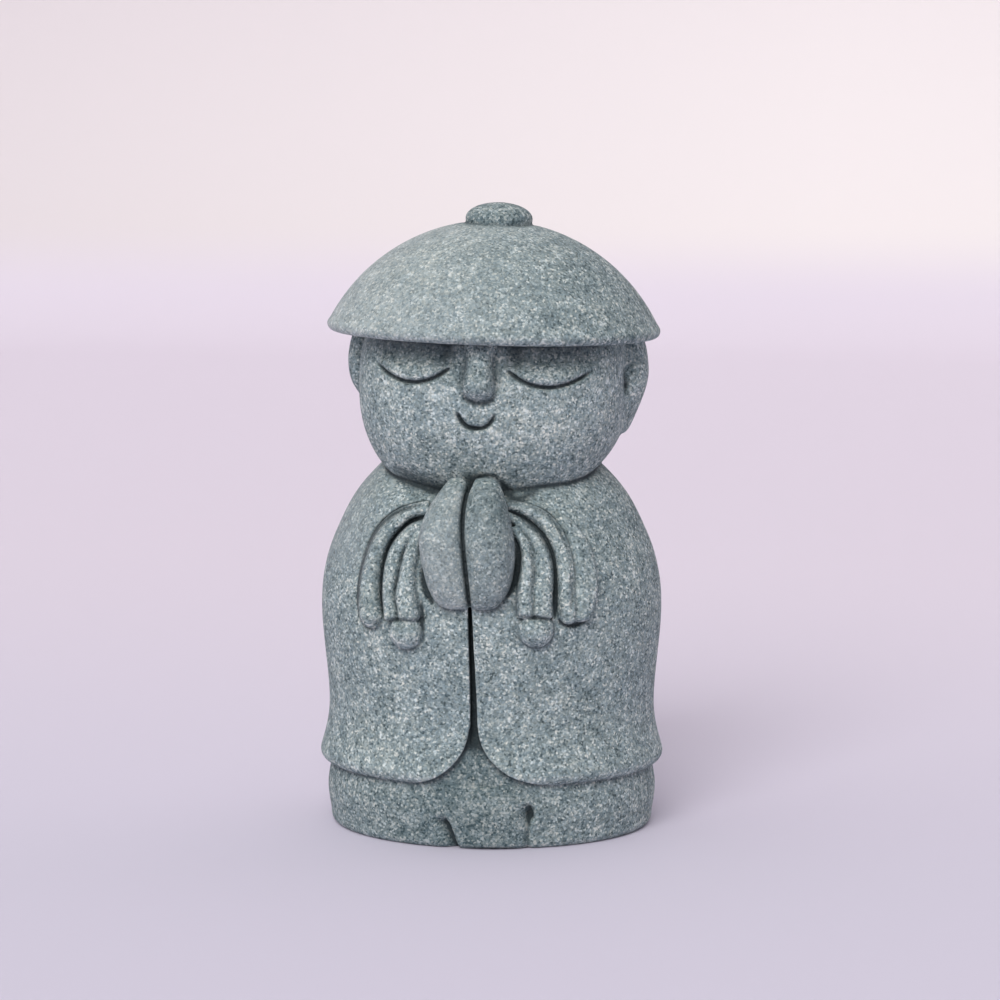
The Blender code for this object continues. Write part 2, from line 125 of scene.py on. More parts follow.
# Skins a row of oval sections. A flatness under 1 squares the ovals off.
def lofted(sections, steps, flatness=1.0):
    mesh = bmesh.new()
    rings = []
    for placed in sections:
        ring = bmesh.ops.create_circle(mesh, segments=steps, radius=1.0)["verts"]
        for vert in ring:
            vert.co = Vector([math.copysign(abs(value) ** flatness, value) for value in vert.co])
        bmesh.ops.transform(mesh, matrix=placed, verts=ring)
        rings.append(ring)
    loops = [[edge for edge in mesh.edges if edge.verts[0] in ring] for ring in (set(r) for r in rings)]
    for loop, following in zip(loops, loops[1:]):
        bmesh.ops.bridge_loops(mesh, edges=loop + following)
    for ring in (rings[0], rings[-1]):
        mesh.faces.new(ring)
    return mesh


def draw(mesh, grown, way):
    verts = [item for item in grown["geom"] if isinstance(item, bmesh.types.BMVert)]
    bmesh.ops.translate(mesh, vec=way, verts=verts)


def extruded(outline, front, back):
    mesh = bmesh.new()
    face = mesh.faces.new([mesh.verts.new((x, front, z)) for x, z in outline])
    draw(mesh, bmesh.ops.extrude_face_region(mesh, geom=[face]), (0.0, back - front, 0.0))
    return mesh


def section(centre, side, out, halfWidth, halfHeight):
    side = side.normalized()
    out = (out - out.dot(side) * side).normalized()
    placed = Matrix((side * halfWidth, out * halfHeight, side.cross(out))).transposed().to_4x4()
    return Matrix.Translation(centre) @ placed


def applyModifiers(made):
    bpy.context.view_layer.update()
    graph = bpy.context.evaluated_depsgraph_get()
    finished = bpy.data.meshes.new_from_object(made.evaluated_get(graph))
    made.modifiers.clear()
    old = made.data
    made.data = finished
    bpy.data.meshes.remove(old)


def cut(made, cutters):
    for cutter in cutters:
        step = made.modifiers.new("cut", "BOOLEAN")
        step.operation = "DIFFERENCE"
        step.solver = "EXACT"
        step.object = cutter
    applyModifiers(made)
    for cutter in cutters:
        bpy.data.objects.remove(cutter, do_unlink=True)
    return made


# Robe and base

robe = {
    "depthShare": 0.889,
    "side": [  # height and half width
        (42.6, 10.6), (38.4, 14.6), (34.6, 16.85), (29.8, 18.65), (24.2, 19.2), (13.8, 18.4), (8.3, 19.45),
    ],
    "crown": 1.5,  # its rise to the axis, inside the head
    "hemUnderside": 7.1, "hemOverhang": 1.2, "hemHollow": 0.4,
    # how the collar drops behind the hands
    "collarDip": {"by": 2.8, "at": -1.5, "width": 6, "front": (2, 9), "heights": (36, 41)},
    # height, x, half width and floor of the opening down the front
    "slit": [
        (28.2, -0.35, 0.1, -14.4), (26.6, -0.3, 0.22, -14.4), (22, -0.15, 0.28, -14.4), (17, 0, 0.34, -14.5),
        (13.6, 0.05, 0.4, -14.6), (12.2, 0.05, 0.46, -15), (10.6, 0.05, 0.6, -16.2),
    ],
    "panelCorners": [(-8.6, -0.5, 6.9, 13.6), (9.2, 0.5, 7.1, 13.6)],  # x from and to, heights
    "cutters": {"front": -25, "back": -8, "below": 1.5},
}
underRobe = {
    "side": [(19, 16.5), (7.4, 18.2), (4.2, 18.6), (1.4, 18.25)],
    "footRounding": (0.9, 1),
    "turn": 0.37,  # in steps, so that its faces don't lie on the robe's
}
robeLine = [(halfWidth, height) for height, halfWidth in curveThrough(robe["side"], divisions["curve"])]
robeHalfWidths, robeHeights = np.array(robeLine)[::-1].T


def robeHalfWidth(height):
    return float(np.interp(height, robeHeights, robeHalfWidths))


def robeFront(x, height):
    halfWidth = robeHalfWidth(height)
    halfDepth = halfWidth * robe["depthShare"]
    y = -halfDepth * math.sqrt(max(0.0, 1.0 - (x / halfWidth) ** 2))
    slope = (robeHalfWidth(height - 0.5) - robeHalfWidth(height + 0.5)) / halfWidth
    out = Vector((x / halfWidth ** 2, y / halfDepth ** 2, slope))
    return Vector((x, y, height)), out.normalized()


def makeRobe():
    hemHalf, hem = robeLine[-1]
    overhang, underside = robe["hemOverhang"], robe["hemUnderside"]
    lip = arc((hemHalf - overhang, hem), (overhang, hem - underside), 0, -90, divisions["lip"])[1:]
    top = robe["side"][0][0] + robe["crown"]
    outline = [(0.0, top), *robeLine, *lip, (0.0, underside + robe["hemHollow"])]
    mesh = turned(outline, robe["depthShare"], divisions["around"])
    dip = robe["collarDip"]
    for vert in mesh.verts:
        middle = math.exp(-(((vert.co.x - dip["at"]) / dip["width"]) ** 2))
        front = smoothStep(*dip["front"], -vert.co.y) * middle
        vert.co.z -= dip["by"] * front * smoothStep(*dip["heights"], vert.co.z)
    made = asObject(mesh, "robeForm")
    cutters = robe["cutters"]
    left, right = robe["panelCorners"]
    corner = []
    for (end, edge, low, high), angles in ((left, (-90, 0)), (right, (180, 270))):
        corner += arc((end, high), (abs(end - edge), high - low), *angles, divisions["corner"])
    corner += [(end, underside - cutters["below"]) for end in (right[0], left[0])]
    return cut(made, [asObject(extruded(corner, cutters["front"], cutters["back"]), "cornerCutter")])


def makeUnderRobe():
    side = [(halfWidth, height) for height, halfWidth in curveThrough(underRobe["side"], divisions["curve"])]
    inward, upward = underRobe["footRounding"]
    foot = arc((side[-1][0] - inward, upward), (inward, upward), 0, -90, divisions["lip"])
    outline = [(0.0, underRobe["side"][0][0]), *side, *foot, (0.0, 0.0)]
    mesh = turned(outline, robe["depthShare"], divisions["around"], offset=underRobe["turn"])
    return asObject(mesh, "underRobeForm")


def makeSlitCutter():
    sections = []
    corner = math.sqrt(2)
    for height, x, halfWidth, floor in curveThrough(robe["slit"], divisions["rows"]):
        halfDepth = (floor - robe["cutters"]["front"]) / 2
        size = Matrix.Diagonal((halfWidth * corner, halfDepth * corner, 1.0, 1.0))
        place = Matrix.Translation((x, floor - halfDepth, height))
        sections.append(place @ size @ Matrix.Rotation(math.tau / 8, 4, "Z"))
    return asObject(lofted(sections, 4), "slitCutter")


# Head, ears and hat. They are shaped around the head's centre and lean together.

head = {
    "centre": (0.38, 0, 50),
    "half": (15, 14.5, 12.6),
    "squareness": 2.5,
    "lean": math.radians(1.5),
    "leastDepth": 0.02,  # share of it that is left at the outline
    # how much fuller the front is below the cheeks, all across and in the middle
    "chin": {"fuller": (0.11, 0.08), "width": 7, "front": (1, 9), "low": (3, 9)},
}
ears = {
    "ends": {-1: (-2.9, 6.6), 1: (-5.6, 6.6)},  # lower and upper end on each side
    "out": {-1: 14.8, 1: 15.2}, "back": 2.3, "half": (1.9, 4.6), "turn": math.radians(8),
    "taper": {-1: 0.5, 1: 1.05}, "lobe": (2, -4.5),  # how far the lobes draw in to the cheeks, and where
}
nose = {
    "rows": [  # height, half width and how far it stands out of the face
        (-0.75, 0.5, 0.15), (-0.5, 1.2, 0.95), (0.25, 1.7, 1.75), (1.4, 1.7, 1.8),
        (2.8, 1.5, 1.4), (4.4, 1.6, 1.1), (6.4, 2.4, 1),
    ],
    "flatness": 0.86,
}
hat = {
    "radius": 20.56, "crown": 18, "underside": 5.35, "depthShare": 0.95, "shift": -0.28, "rimAngle": 62.6,
    "rim": {"inset": 0.45, "thickness": 0.85, "from": 40},
}
button = {"radius": 3.75, "edge": 1.8, "foot": 0.97, "sunk": 1.2}


def headFront(x, height):
    wide, deep, tall = head["half"]
    power = head["squareness"]
    left = 1.0 - abs(x / wide) ** power - abs(height / tall) ** power
    y = -deep * max(left, head["leastDepth"]) ** (1.0 / power)
    pairs = ((x, wide), (y, deep), (height, tall))
    out = [math.copysign(abs(value / half) ** (power - 1) / half, value) for value, half in pairs]
    return Vector((x, y, height)), Vector(out).normalized()


leanHead = Matrix.Translation(head["centre"]) @ Matrix.Rotation(head["lean"], 4, "Y")


def onHead(made):
    made.data.transform(leanHead)
    return made


def ball(fineness):
    mesh = bmesh.new()
    bmesh.ops.create_uvsphere(mesh, u_segments=fineness[0], v_segments=fineness[1], radius=1.0)
    return mesh


def makeHead():
    mesh = ball(divisions["head"])
    chin = head["chin"]
    everywhere, inMiddle = chin["fuller"]
    for vert in mesh.verts:
        reach = sum(abs(value) ** head["squareness"] for value in vert.co) ** (-1.0 / head["squareness"])
        vert.co = Vector([value * reach * half for value, half in zip(vert.co, head["half"])])
        fuller = everywhere + inMiddle * math.exp(-((vert.co.x / chin["width"]) ** 2))
        fuller = fuller * smoothStep(*chin["front"], -vert.co.y) * smoothStep(*chin["low"], -vert.co.z)
        vert.co.z *= 1 + fuller
    return onHead(asObject(mesh, "headForm"))


def makeEar(side):
    low, high = ears["ends"][side]
    mesh = ball(divisions["ear"])
    size = Matrix.Diagonal((*ears["half"], (high - low) / 2, 1.0))
    turn = Matrix.Rotation(side * ears["turn"], 4, "Z")
    place = Matrix.Translation((side * ears["out"][side], ears["back"], (low + high) / 2))
    bmesh.ops.transform(mesh, matrix=place @ turn @ size, verts=mesh.verts)
    for vert in mesh.verts:
        vert.co.x -= side * ears["taper"][side] * smoothStep(*ears["lobe"], vert.co.z)
    return onHead(asObject(mesh, "earForm"))


def makeNose():
    sections = []
    for height, half, stand in curveThrough(nose["rows"], divisions["rows"]):
        point = headFront(0.0, height)[0]
        sections.append(section(point, Vector((1, 0, 0)), Vector((0, -1, 0)), half, stand))
    return onHead(asObject(lofted(sections, divisions["nose"], nose["flatness"]), "noseForm"))


def makeHat():
    radius, underside, rim = hat["radius"], hat["underside"], hat["rim"]
    middle = (0.0, hat["crown"] - radius)
    dome = arc(middle, (radius, radius), 90, 90 - hat["rimAngle"], divisions["dome"])
    halfWidth, height = dome[-1]
    centre = (halfWidth - rim["inset"], (height + underside) / 2)
    size = (rim["thickness"], (height - underside) / 2)
    rounding = arc(centre, size, rim["from"], -90, divisions["rim"])
    outline = [(0.0, hat["crown"]), *dome[1:], *rounding, (0.0, underside)]
    mesh = turned(outline, hat["depthShare"], divisions["hat"])
    bmesh.ops.translate(mesh, vec=(hat["shift"], 0.0, 0.0), verts=mesh.verts)
    return onHead(asObject(mesh, "hatForm"))


def makeButton():
    alongEdge, around = divisions["button"]
    top = figureHeight - head["centre"][2]
    edge = arc((0.0, top - button["edge"]), (button["radius"], button["edge"]), 90, 0, alongEdge)
    low = hat["crown"] - button["sunk"]
    outline = [(0.0, top), *edge[1:], (button["radius"] * button["foot"], low), (0.0, low)]
    return onHead(asObject(turned(outline, 1.0, around), "buttonForm"))


# Hands and sleeves

hands = {
    # height, outer side, inner side, middle y and half depth, from the heel to the tips
    "left": [
        (26.7, -2.4, -0.9, -16.8, 0.4), (27.3, -3.7, -0.1, -17, 1.6), (29.2, -4.8, -0.15, -17.2, 2.35),
        (32, -5.45, -0.45, -17.35, 2.7), (34.6, -5.75, -0.75, -17.3, 2.75), (37, -5.15, -0.8, -16.7, 2.5),
        (38.7, -4.2, -0.75, -15.9, 2.15), (39.9, -3.35, -0.8, -15.3, 1.7), (40.75, -2.65, -1.2, -14.9, 0.9),
    ],
    "right": [
        (26.7, 1.9, 0.4, -16.8, 0.4), (27.3, 2.9, -0.25, -17, 1.6), (29.2, 4.1, -0.55, -17.2, 2.35),
        (32, 4.6, -0.9, -17.35, 2.7), (34.6, 4.5, -1.15, -17.3, 2.75), (37, 3.95, -1.05, -16.7, 2.5),
        (38.7, 3.4, -0.7, -15.9, 2.15), (39.9, 2.85, -0.25, -15.3, 1.75), (40.75, 2.1, 0.1, -14.9, 1),
    ],
    "flatness": 0.88,
}
ribbon = {"flatness": 0.8, "tipAngles": (20, 38, 54, 68, 80)}
# Folds of the sleeves, down the chest: rise at the start and the end, length of the tip, and the two edges,
# as x and height of one and of the other
folds = [
    ((0.8, 1.6), 1, [
        (-5.2, 37.9, -5, 36.6), (-7.1, 37.4, -7, 36), (-8.9, 36.6, -8.4, 34.8),
        (-10.4, 35.3, -9.5, 33.5), (-11.6, 33.4, -10.15, 32), (-12.5, 31, -10.45, 30.4),
        (-12.9, 28.8, -10.6, 28.6), (-12.9, 26.9, -10.4, 26.8), (-12.6, 25.4, -10.15, 25.4),
    ]),
    ((1, 1.5), 0.2, [
        (-5, 36, -4.8, 35.2), (-6.9, 35.4, -6.2, 34.5), (-8.3, 34.2, -7.1, 33.5),
        (-9.2, 32.9, -7.7, 32.2), (-9.75, 31.2, -8, 30.8), (-9.95, 29.6, -8.3, 29.3),
        (-10, 27.9, -8.5, 27.8), (-9.85, 26.5, -8.25, 26.5), (-9.6, 25.3, -8, 25.3),
    ]),
    ((1, 1.6), 0.2, [
        (-5.8, 34.9, -5, 34.6), (-6.9, 33.9, -5.8, 33.6), (-7.6, 32.4, -6.1, 32.3),
        (-8, 30.8, -6.25, 30.8), (-8.25, 29.3, -6.25, 29.3), (-8.5, 27.8, -6.15, 27.9),
        (-8.2, 26.5, -5.9, 26.5), (-8, 25.3, -5.8, 25.3),
    ]),
    ((1, 1.6), 0.2, [
        (4.4, 35.3, 3.6, 35.2), (5.5, 34.2, 4.3, 34.2), (6.2, 33, 4.85, 33.1), (6.55, 31.8, 5, 31.8),
        (6.65, 30.3, 4.85, 30.3), (6.55, 28.6, 4.7, 28.6), (6.4, 27, 4.7, 27), (6.4, 26, 4.85, 26),
    ]),
    ((1, 1.5), 0.2, [
        (3.4, 36.9, 3, 36.2), (5.1, 36, 4.6, 35.2), (6.7, 34.7, 5.7, 34.1), (7.8, 33, 6.3, 32.8),
        (8.35, 31.3, 6.5, 31.3), (8.5, 29.5, 6.5, 29.6), (8.4, 27.8, 6.35, 27.8), (8.45, 25.9, 6.35, 25.9),
    ]),
    ((0.9, 1.45), 0.7, [
        (3.4, 38.1, 3.2, 37.3), (5.7, 37.6, 5.1, 36.6), (7.4, 36.8, 6.6, 35.6), (8.8, 35.4, 7.8, 34),
        (9.9, 33.3, 8.5, 32.4), (10.5, 31, 8.8, 30.4), (10.65, 28.8, 8.95, 28.6), (10.7, 27, 9.1, 26.9),
        (10.7, 25.6, 9.3, 25.6),
    ]),
    ((0.7, 1.5), 0.7, [
        (9.3, 36.4, 8.5, 36), (10.8, 35, 9.3, 34.7), (12, 33.2, 9.95, 33), (12.7, 31.2, 10.3, 31.2),
        (13, 29.3, 10.45, 29.4), (12.85, 27.6, 10.45, 27.7), (12.3, 25.9, 10.5, 25.7),
    ]),
]
beads = [  # at the folds' ends: place, half width, half height and rise
    ((-7.4, 23.9), (1.9, 1.85, 1.75)),
    ((6.8, 24.45), (1.95, 1.9, 1.75)),
    ((-11.5, 25.5), (1.45, 1.6, 1.65)),
]


def makeHand(rows, name):
    sections = []
    for height, outer, inner, y, halfDepth in curveThrough(rows, divisions["rows"]):
        centre = Vector(((outer + inner) / 2, y, height))
        halfWidth = abs(outer - inner) / 2
        sections.append(section(centre, Vector((1, 0, 0)), Vector((0, -1, 0)), halfWidth, halfDepth))
    return asObject(lofted(sections, divisions["hand"], hands["flatness"]), name)


def makeFold(rises, tip, edges):
    rows = []
    lengthwise, across = divisions["fold"]
    path = curveThrough(edges, lengthwise)
    for i, (outerX, outer, innerX, inner) in enumerate(path):
        start, end = robeFront(outerX, outer)[0], robeFront(innerX, inner)[0]
        point, out = robeFront((outerX + innerX) / 2, (outer + inner) / 2)
        rise = between(*rises, i / (len(path) - 1))
        rows.append((point, end - start, out, (end - start).length / 2, rise))
    point, side, out, halfWidth, rise = rows[-1]
    for degrees in ribbon["tipAngles"]:  # the tip rounds off
        size = math.cos(math.radians(degrees))
        lower = robeFront(point.x, point.z - tip * math.sin(math.radians(degrees)))[0]
        rows.append((lower, side, out, halfWidth * size, rise * size))
    return asObject(lofted([section(*row) for row in rows], across, ribbon["flatness"]), "foldForm")


def makeBead(place, half):
    mesh = ball(divisions["bead"])
    point, out = robeFront(*place)
    turn = out.to_track_quat("Z", "Y").to_matrix().to_4x4()
    size = Matrix.Diagonal((*half, 1.0))
    bmesh.ops.transform(mesh, matrix=Matrix.Translation(point) @ turn @ size, verts=mesh.verts)
    return asObject(mesh, "beadForm")


# Clay: the forms made one skin, which the carving below then works on

clay = {
    "voxel": 0.15, "mostTriangles": 194000,
    "softening": (2, 0.5),  # rounds, and how far each draws a point in, before the carving
    "settling": (1, 0.5),  # and after it
    "smoothing": 0.9, "pull": 0.8,  # how far a round draws a point in to find grooves, and in a patch
}


def joined(forms, name):
    mesh = bmesh.new()
    for form in forms:
        mesh.from_mesh(form.data)
        bpy.data.objects.remove(form, do_unlink=True)
    return stored(mesh, name)


def oneSkin(made):
    skin = made.modifiers.new("one skin", "REMESH")
    skin.mode = "VOXEL"
    skin.voxel_size = clay["voxel"]
    applyModifiers(made)
    return made


def makeClay():
    body = cut(oneSkin(joined([makeRobe(), makeUnderRobe()], "body")), [makeSlitCutter()])
    forms = [body, makeHand(hands["left"], "leftHand"), makeHand(hands["right"], "rightHand")]
    forms += [makeHead(), makeEar(-1), makeEar(1), makeNose(), makeHat(), makeButton()]
    forms += [makeFold(*fold) for fold in folds]
    forms += [makeBead(*bead) for bead in beads]
    return oneSkin(joined(forms, "monkFigure"))


figure = makeClay()
print("clay", len(figure.data.vertices), "vertices")


# A patch of the skin is a product of parts, each along one measure of its points: a hump, a limit, or a
# fade, as (measure, where it is 0, where it is 1)

def around(name, centre, width):
    return lambda measured: np.exp(-(((measured[name] - centre) / width) ** 2))


def below(name, limit):
    return lambda measured: measured[name] < limit


def above(name, limit):
    return lambda measured: measured[name] > limit


def patch(measured, parts):
    found = 1.0
    for part in parts:
        found = found * (part(measured) if callable(part) else smoothStep(*part[1:], measured[part[0]]))
    return found


# Carving: vertex moves along strokes drawn on the front as (x, z)

# The mean of each point's neighbours
def averaged(values, edges, degree):
    columns = values.reshape(len(degree), -1)
    total = np.zeros_like(columns)
    for to, source in ((0, 1), (1, 0)):
        for i, column in enumerate(columns.T):
            total[:, i] += np.bincount(edges[:, to], column[edges[:, source]], len(degree))
    return (total / degree[:, None]).reshape(values.shape)


def read(items, name, width, kind):
    values = np.empty(len(items) * width, kind)
    items.foreach_get(name, values)
    return values.reshape(-1, width)


class Skin:
    def __init__(self, mesh):
        self.mesh = mesh
        self.count = len(mesh.vertices)
        self.points = read(mesh.vertices, "co", 3, float)
        self.edges = read(mesh.edges, "vertices", 2, int)
        self.degree = np.bincount(self.edges.ravel(), minlength=self.count)
        # darkness that strokes lay along their grooves: painted shade, for the finish
        self.paintedShade = np.zeros(self.count)

    def normals(self):
        self.write()
        return read(self.mesh.vertex_normals, "vector", 3, np.float32).astype(float)

    def write(self):
        self.mesh.vertices.foreach_set("co", self.points.ravel())
        self.mesh.update()

    def soften(self, rounds, share):
        for _ in range(rounds):
            self.points += share * (averaged(self.points, self.edges, self.degree) - self.points)


# Distance of each point of a plane to a polyline, and how far along it the nearest place is, from 0 to 1
def nearness(flat, path):
    path = np.array(path, float)
    lengths = np.linalg.norm(np.diff(path, axis=0), axis=1)
    begins = np.concatenate([[0.0], np.cumsum(lengths)])
    best = np.full(len(flat), 1e9)
    share = np.zeros(len(flat))
    for start, end, begin, length in zip(path, path[1:], begins, lengths):
        along = np.clip(((flat - start) @ (end - start)) / length ** 2, 0.0, 1.0)
        gap = np.linalg.norm(flat - (start + along[:, None] * (end - start)), axis=1)
        closer = gap < best
        best[closer] = gap[closer]
        share[closer] = (begin + along[closer] * length) / begins[-1]
    return best, share


# A stroke along a curve: its width, how far it moves the skin, how dark the painted shade along it is and
# how soon it thins, to 0.4 of its width, at its ends
def stroke(skin, weight, path, width, depth, paintedShade=0.0, ends=0.12, towards=(0.0, 1.0, 0.0), points=None):
    points = skin.points if points is None else points
    path = curveThrough(path, divisions["stroke"])
    low = np.min(path, axis=0) - 2 * width
    high = np.max(path, axis=0) + 2 * width
    flat = points[:, [0, 2]]
    picked = np.flatnonzero((weight > 0) & ((flat > low) & (flat < high)).all(axis=1))
    gap, share = nearness(flat[picked], path)
    pressed = np.clip(np.minimum(share, 1 - share) / ends, 0.0, 1.0) ** 0.5 if ends else 1.0
    halfWidth = 0.5 * width * between(0.4, 1.0, pressed)
    amount = weight[picked] * pressed * np.exp(-((gap / halfWidth) ** 2))
    points[picked] += (depth * amount)[:, None] * np.array(towards)
    # painted shade: a darker tone laid along the groove, where shadow falls
    skin.paintedShade[picked] = np.maximum(skin.paintedShade[picked], paintedShade * amount)


def shifted(points, matrix):
    matrix = np.array(matrix)
    return points @ matrix[:3, :3].T + matrix[:3, 3]


def toHead(points):
    return shifted(points, leanHead.inverted())


def measure(points, **others):
    x, y, z = points.T
    return {"x": x, "y": y, "z": z, "side": np.abs(x), **others}


carving = {
    # The darkness given with each stroke here is painted shade in its groove: the eye lines, the sockets
    # under the brim, the mouth, the nose's sides, the ear, the folds, the split and the collar
    "eyes": [
        {"out": -7.55, "half": 4.3, "low": 0.8, "rise": 1.75},
        {"out": 7.35, "half": 4.5, "low": 0.75, "rise": 1.75},
    ],
    "eyeLine": {"width": 0.46, "depth": 0.7, "paintedShade": 0.85},
    "lid": {"width": 1.9, "height": 0.4, "over": 0.95, "rise": 0.6, "ends": 0.25},
    "socket": {"height": 4.1, "half": 3.2, "width": 3.6, "depth": 0.7, "paintedShade": 0.45},
    "corner": {"out": 3.5, "height": 3.6, "reach": (-0.8, 1.2), "width": 2.6, "depth": 0.55, "paintedShade": 0.15},
    "mouth": {
        "out": -0.25, "half": 2.1, "low": -3.9, "rise": 1.7, "power": 3,
        "width": 0.42, "depth": 0.65, "paintedShade": 0.78, "ends": 0.2,
    },
    "mouthCorner": {"part": slice(0, 15, 2), "width": 1.25, "depth": 0.3},  # as shares of the mouth's
    "noseLines": [  # width, depth, painted shade beside and under the nose, and path
        (1.4, 0.2, 0.32, [(-1.5, 4.6), (-1.65, 2.8), (-2.05, 1.2), (-2, 0.1)]),
        (1.4, 0.2, 0.32, [(1.5, 4.6), (1.65, 2.8), (2.1, 1.2), (2, 0.1)]),
        (0.6, 0.2, 0.55, [
            (-1.85, 0.1), (-1.4, -0.75), (-0.5, -1.15), (0.6, -1.15), (1.45, -0.75), (1.85, 0.1),
        ]),
    ],
    "noseEnds": 0.3,
    "earLine": {
        "path": [(15.1, 52.2), (15.35, 50.6), (15.3, 48.8)],
        "width": 0.4, "depth": 0.2, "paintedShade": 0.5, "ends": 0.4, "towards": (-0.7, 0.7, 0),
    },
    "grooves": [  # between the folds: width, depth, painted shade, how soon they thin, and path
        (0.62, 0.6, 0.9, 0.2, [
            (-5.2, 37.9), (-7.1, 37.35), (-8.9, 36.6), (-10.6, 35.3), (-11.8, 33.5), (-12.7, 30.8),
            (-13.1, 28), (-13.05, 25.6), (-12.4, 24.2), (-11.3, 23.8),
        ]),
        (0.5, 0.75, 0.9, 0.14, [
            (-5.2, 36.4), (-7.1, 35.75), (-8.5, 34.5), (-9.6, 32.9), (-10.15, 30.9), (-10.3, 28.6),
            (-10.1, 26.4), (-9.9, 24.9),
        ]),
        (0.45, 0.35, 0.45, 0.3, [(-7, 34.1), (-7.8, 32.4), (-8.25, 30.2), (-8.6, 28), (-8.2, 25.9)]),
        (0.75, 0.6, 0.8, 0.5, [(-5.7, 31.4), (-5.5, 29.6), (-5.1, 28.3), (-4.3, 27)]),
        (0.75, 0.25, 0.25, 0.4, [(-5.6, 28), (-5.6, 25.2), (-5.55, 22.8)]),
        (0.4, 0.35, 0.6, 0.4, [
            (5.4, 37.8), (7.4, 36.9), (8.6, 35.8), (9.4, 34.5), (10.2, 32.8), (10.5, 31),
        ]),
        (0.44, 0.6, 0.85, 0.2, [
            (3.6, 37), (5.1, 36.3), (6.3, 35.4), (7.4, 34.2), (8.2, 32.8), (8.65, 31.1), (8.8, 29),
            (8.8, 25.6),
        ]),
        (0.45, 0.35, 0.45, 0.3, [(5.2, 34.7), (6.2, 33.1), (6.55, 31.3), (6.55, 29.5), (6.35, 27.5)]),
        (0.85, 0.7, 0.9, 0.5, [(4.4, 34.4), (4.7, 33), (4.7, 31.3), (4.45, 29.6), (3.6, 27.9)]),
        (0.45, 0.35, 0.5, 0.3, [(10.5, 31.2), (10.7, 28.8), (10.6, 26.6)]),
        (0.42, 0.35, 0.6, 0.3, [(9.1, 25.7), (9.7, 24.95), (10.8, 24.7), (12, 25.1)]),
        (0.45, 0.45, 0.6, 0.2, [(-9.8, 25.05), (-8.1, 25.4), (-6.2, 25.35), (-5.3, 25.5)]),
        (0.45, 0.45, 0.65, 0.2, [(4.8, 26.15), (6.9, 25.95), (8.6, 25.75)]),
    ],
    "split": (0.42, 0.8, 1, 0.03, [  # between the hands
        (-0.6, 40.4), (-0.8, 39.2), (-0.92, 37.8), (-0.92, 36), (-0.7, 33), (-0.4, 29.6), (-0.2, 26.2),
    ]),
    "underChin": [  # between chin and collar, and round the fingers' tips: width, depth, painted shadow and path
        (1.9, 0.2, 0.74, [(-2.4, 38.8), (-5.4, 39.5), (-7.8, 40.2), (-9.8, 41.3)]),
        (0.6, 0.15, 0.6, [(-0.2, 40.1), (0.2, 40.6), (0.9, 40.8), (1.7, 40.75), (2.3, 40.3)]),
        (1, 0.2, 0.82, [(1.9, 40.6), (2.5, 40), (3, 39.2), (3.4, 38.5), (4.6, 38.3), (6.6, 38.9)]),
    ],
    "underChinEnds": 0.2,
    "collarLine": {  # along the deepest places between these x, on each side
        "sides": [(-13, -4.4), (3.9, 13.6)], "steps": 9, "rounds": 30,
        "reach": 0.3,  # how near to each x the deepest places are looked for
        "deep": 0.8,  # share of the greatest depth that counts
        "width": 0.5, "depth": 0.35, "paintedShade": 0.75, "ends": 0.3,
    },
    "tongue": {"path": [(1.9, 5), (1.9, 0.6)], "width": 6.4, "depth": -0.35},  # between the foot's chips
    "chips": [  # reach to the right and left, depth, top and path
        (0.15, 1, 0.95, 3.9, [(-3.35, 3.9), (-2.6, 2.4), (-1.6, -0.5)]),
        (0.45, 0.9, 0.9, 5.5, [(5.95, 5.5), (6.2, 3.7)]),
        (0.3, 0.6, 0.4, 5, [(5.9, 3.9), (5.8, -0.5)]),
    ],
    "chipFade": 1.2,
    # width of the painted shade along each chip's break
    "chipShadeWidth": 0.3,
    "sharpening": [(60, 0.6, 0.25), (10, 0.15, 0.25)],  # rounds, greatest depth and share cut deeper
}
fields = {  # where each kind of carving is kept to
    "face": [below("y", -3), above("z", -9), below("z", 5.2)],
    "ear": [below("y", 1)],
    "folds": [below("y", -8), below("z", 42), above("z", 20), ("proud", 2.7, 1.7)],
    "palms": [below("y", -8), below("z", 42), ("proud", 0.2, 1), ("y", -14.4, -15)],
    "behind": [below("y", -4), ("y", -14.6, -14)],
    "crease": [below("y", -2), above("y", -13), above("z", 37.4), below("z", 44.6)],
    "foot": [below("y", -8), below("z", 7)],
    "tongue": [below("y", -8), below("z", 7), above("z", 0.3)],
}


def downwardArc(part, rise, lift=0.0, power=2.0):
    shares = np.linspace(-1, 1, divisions["arc"])
    return [(part["out"] + part["half"] * s, part["low"] + lift + rise * abs(s) ** power) for s in shares]


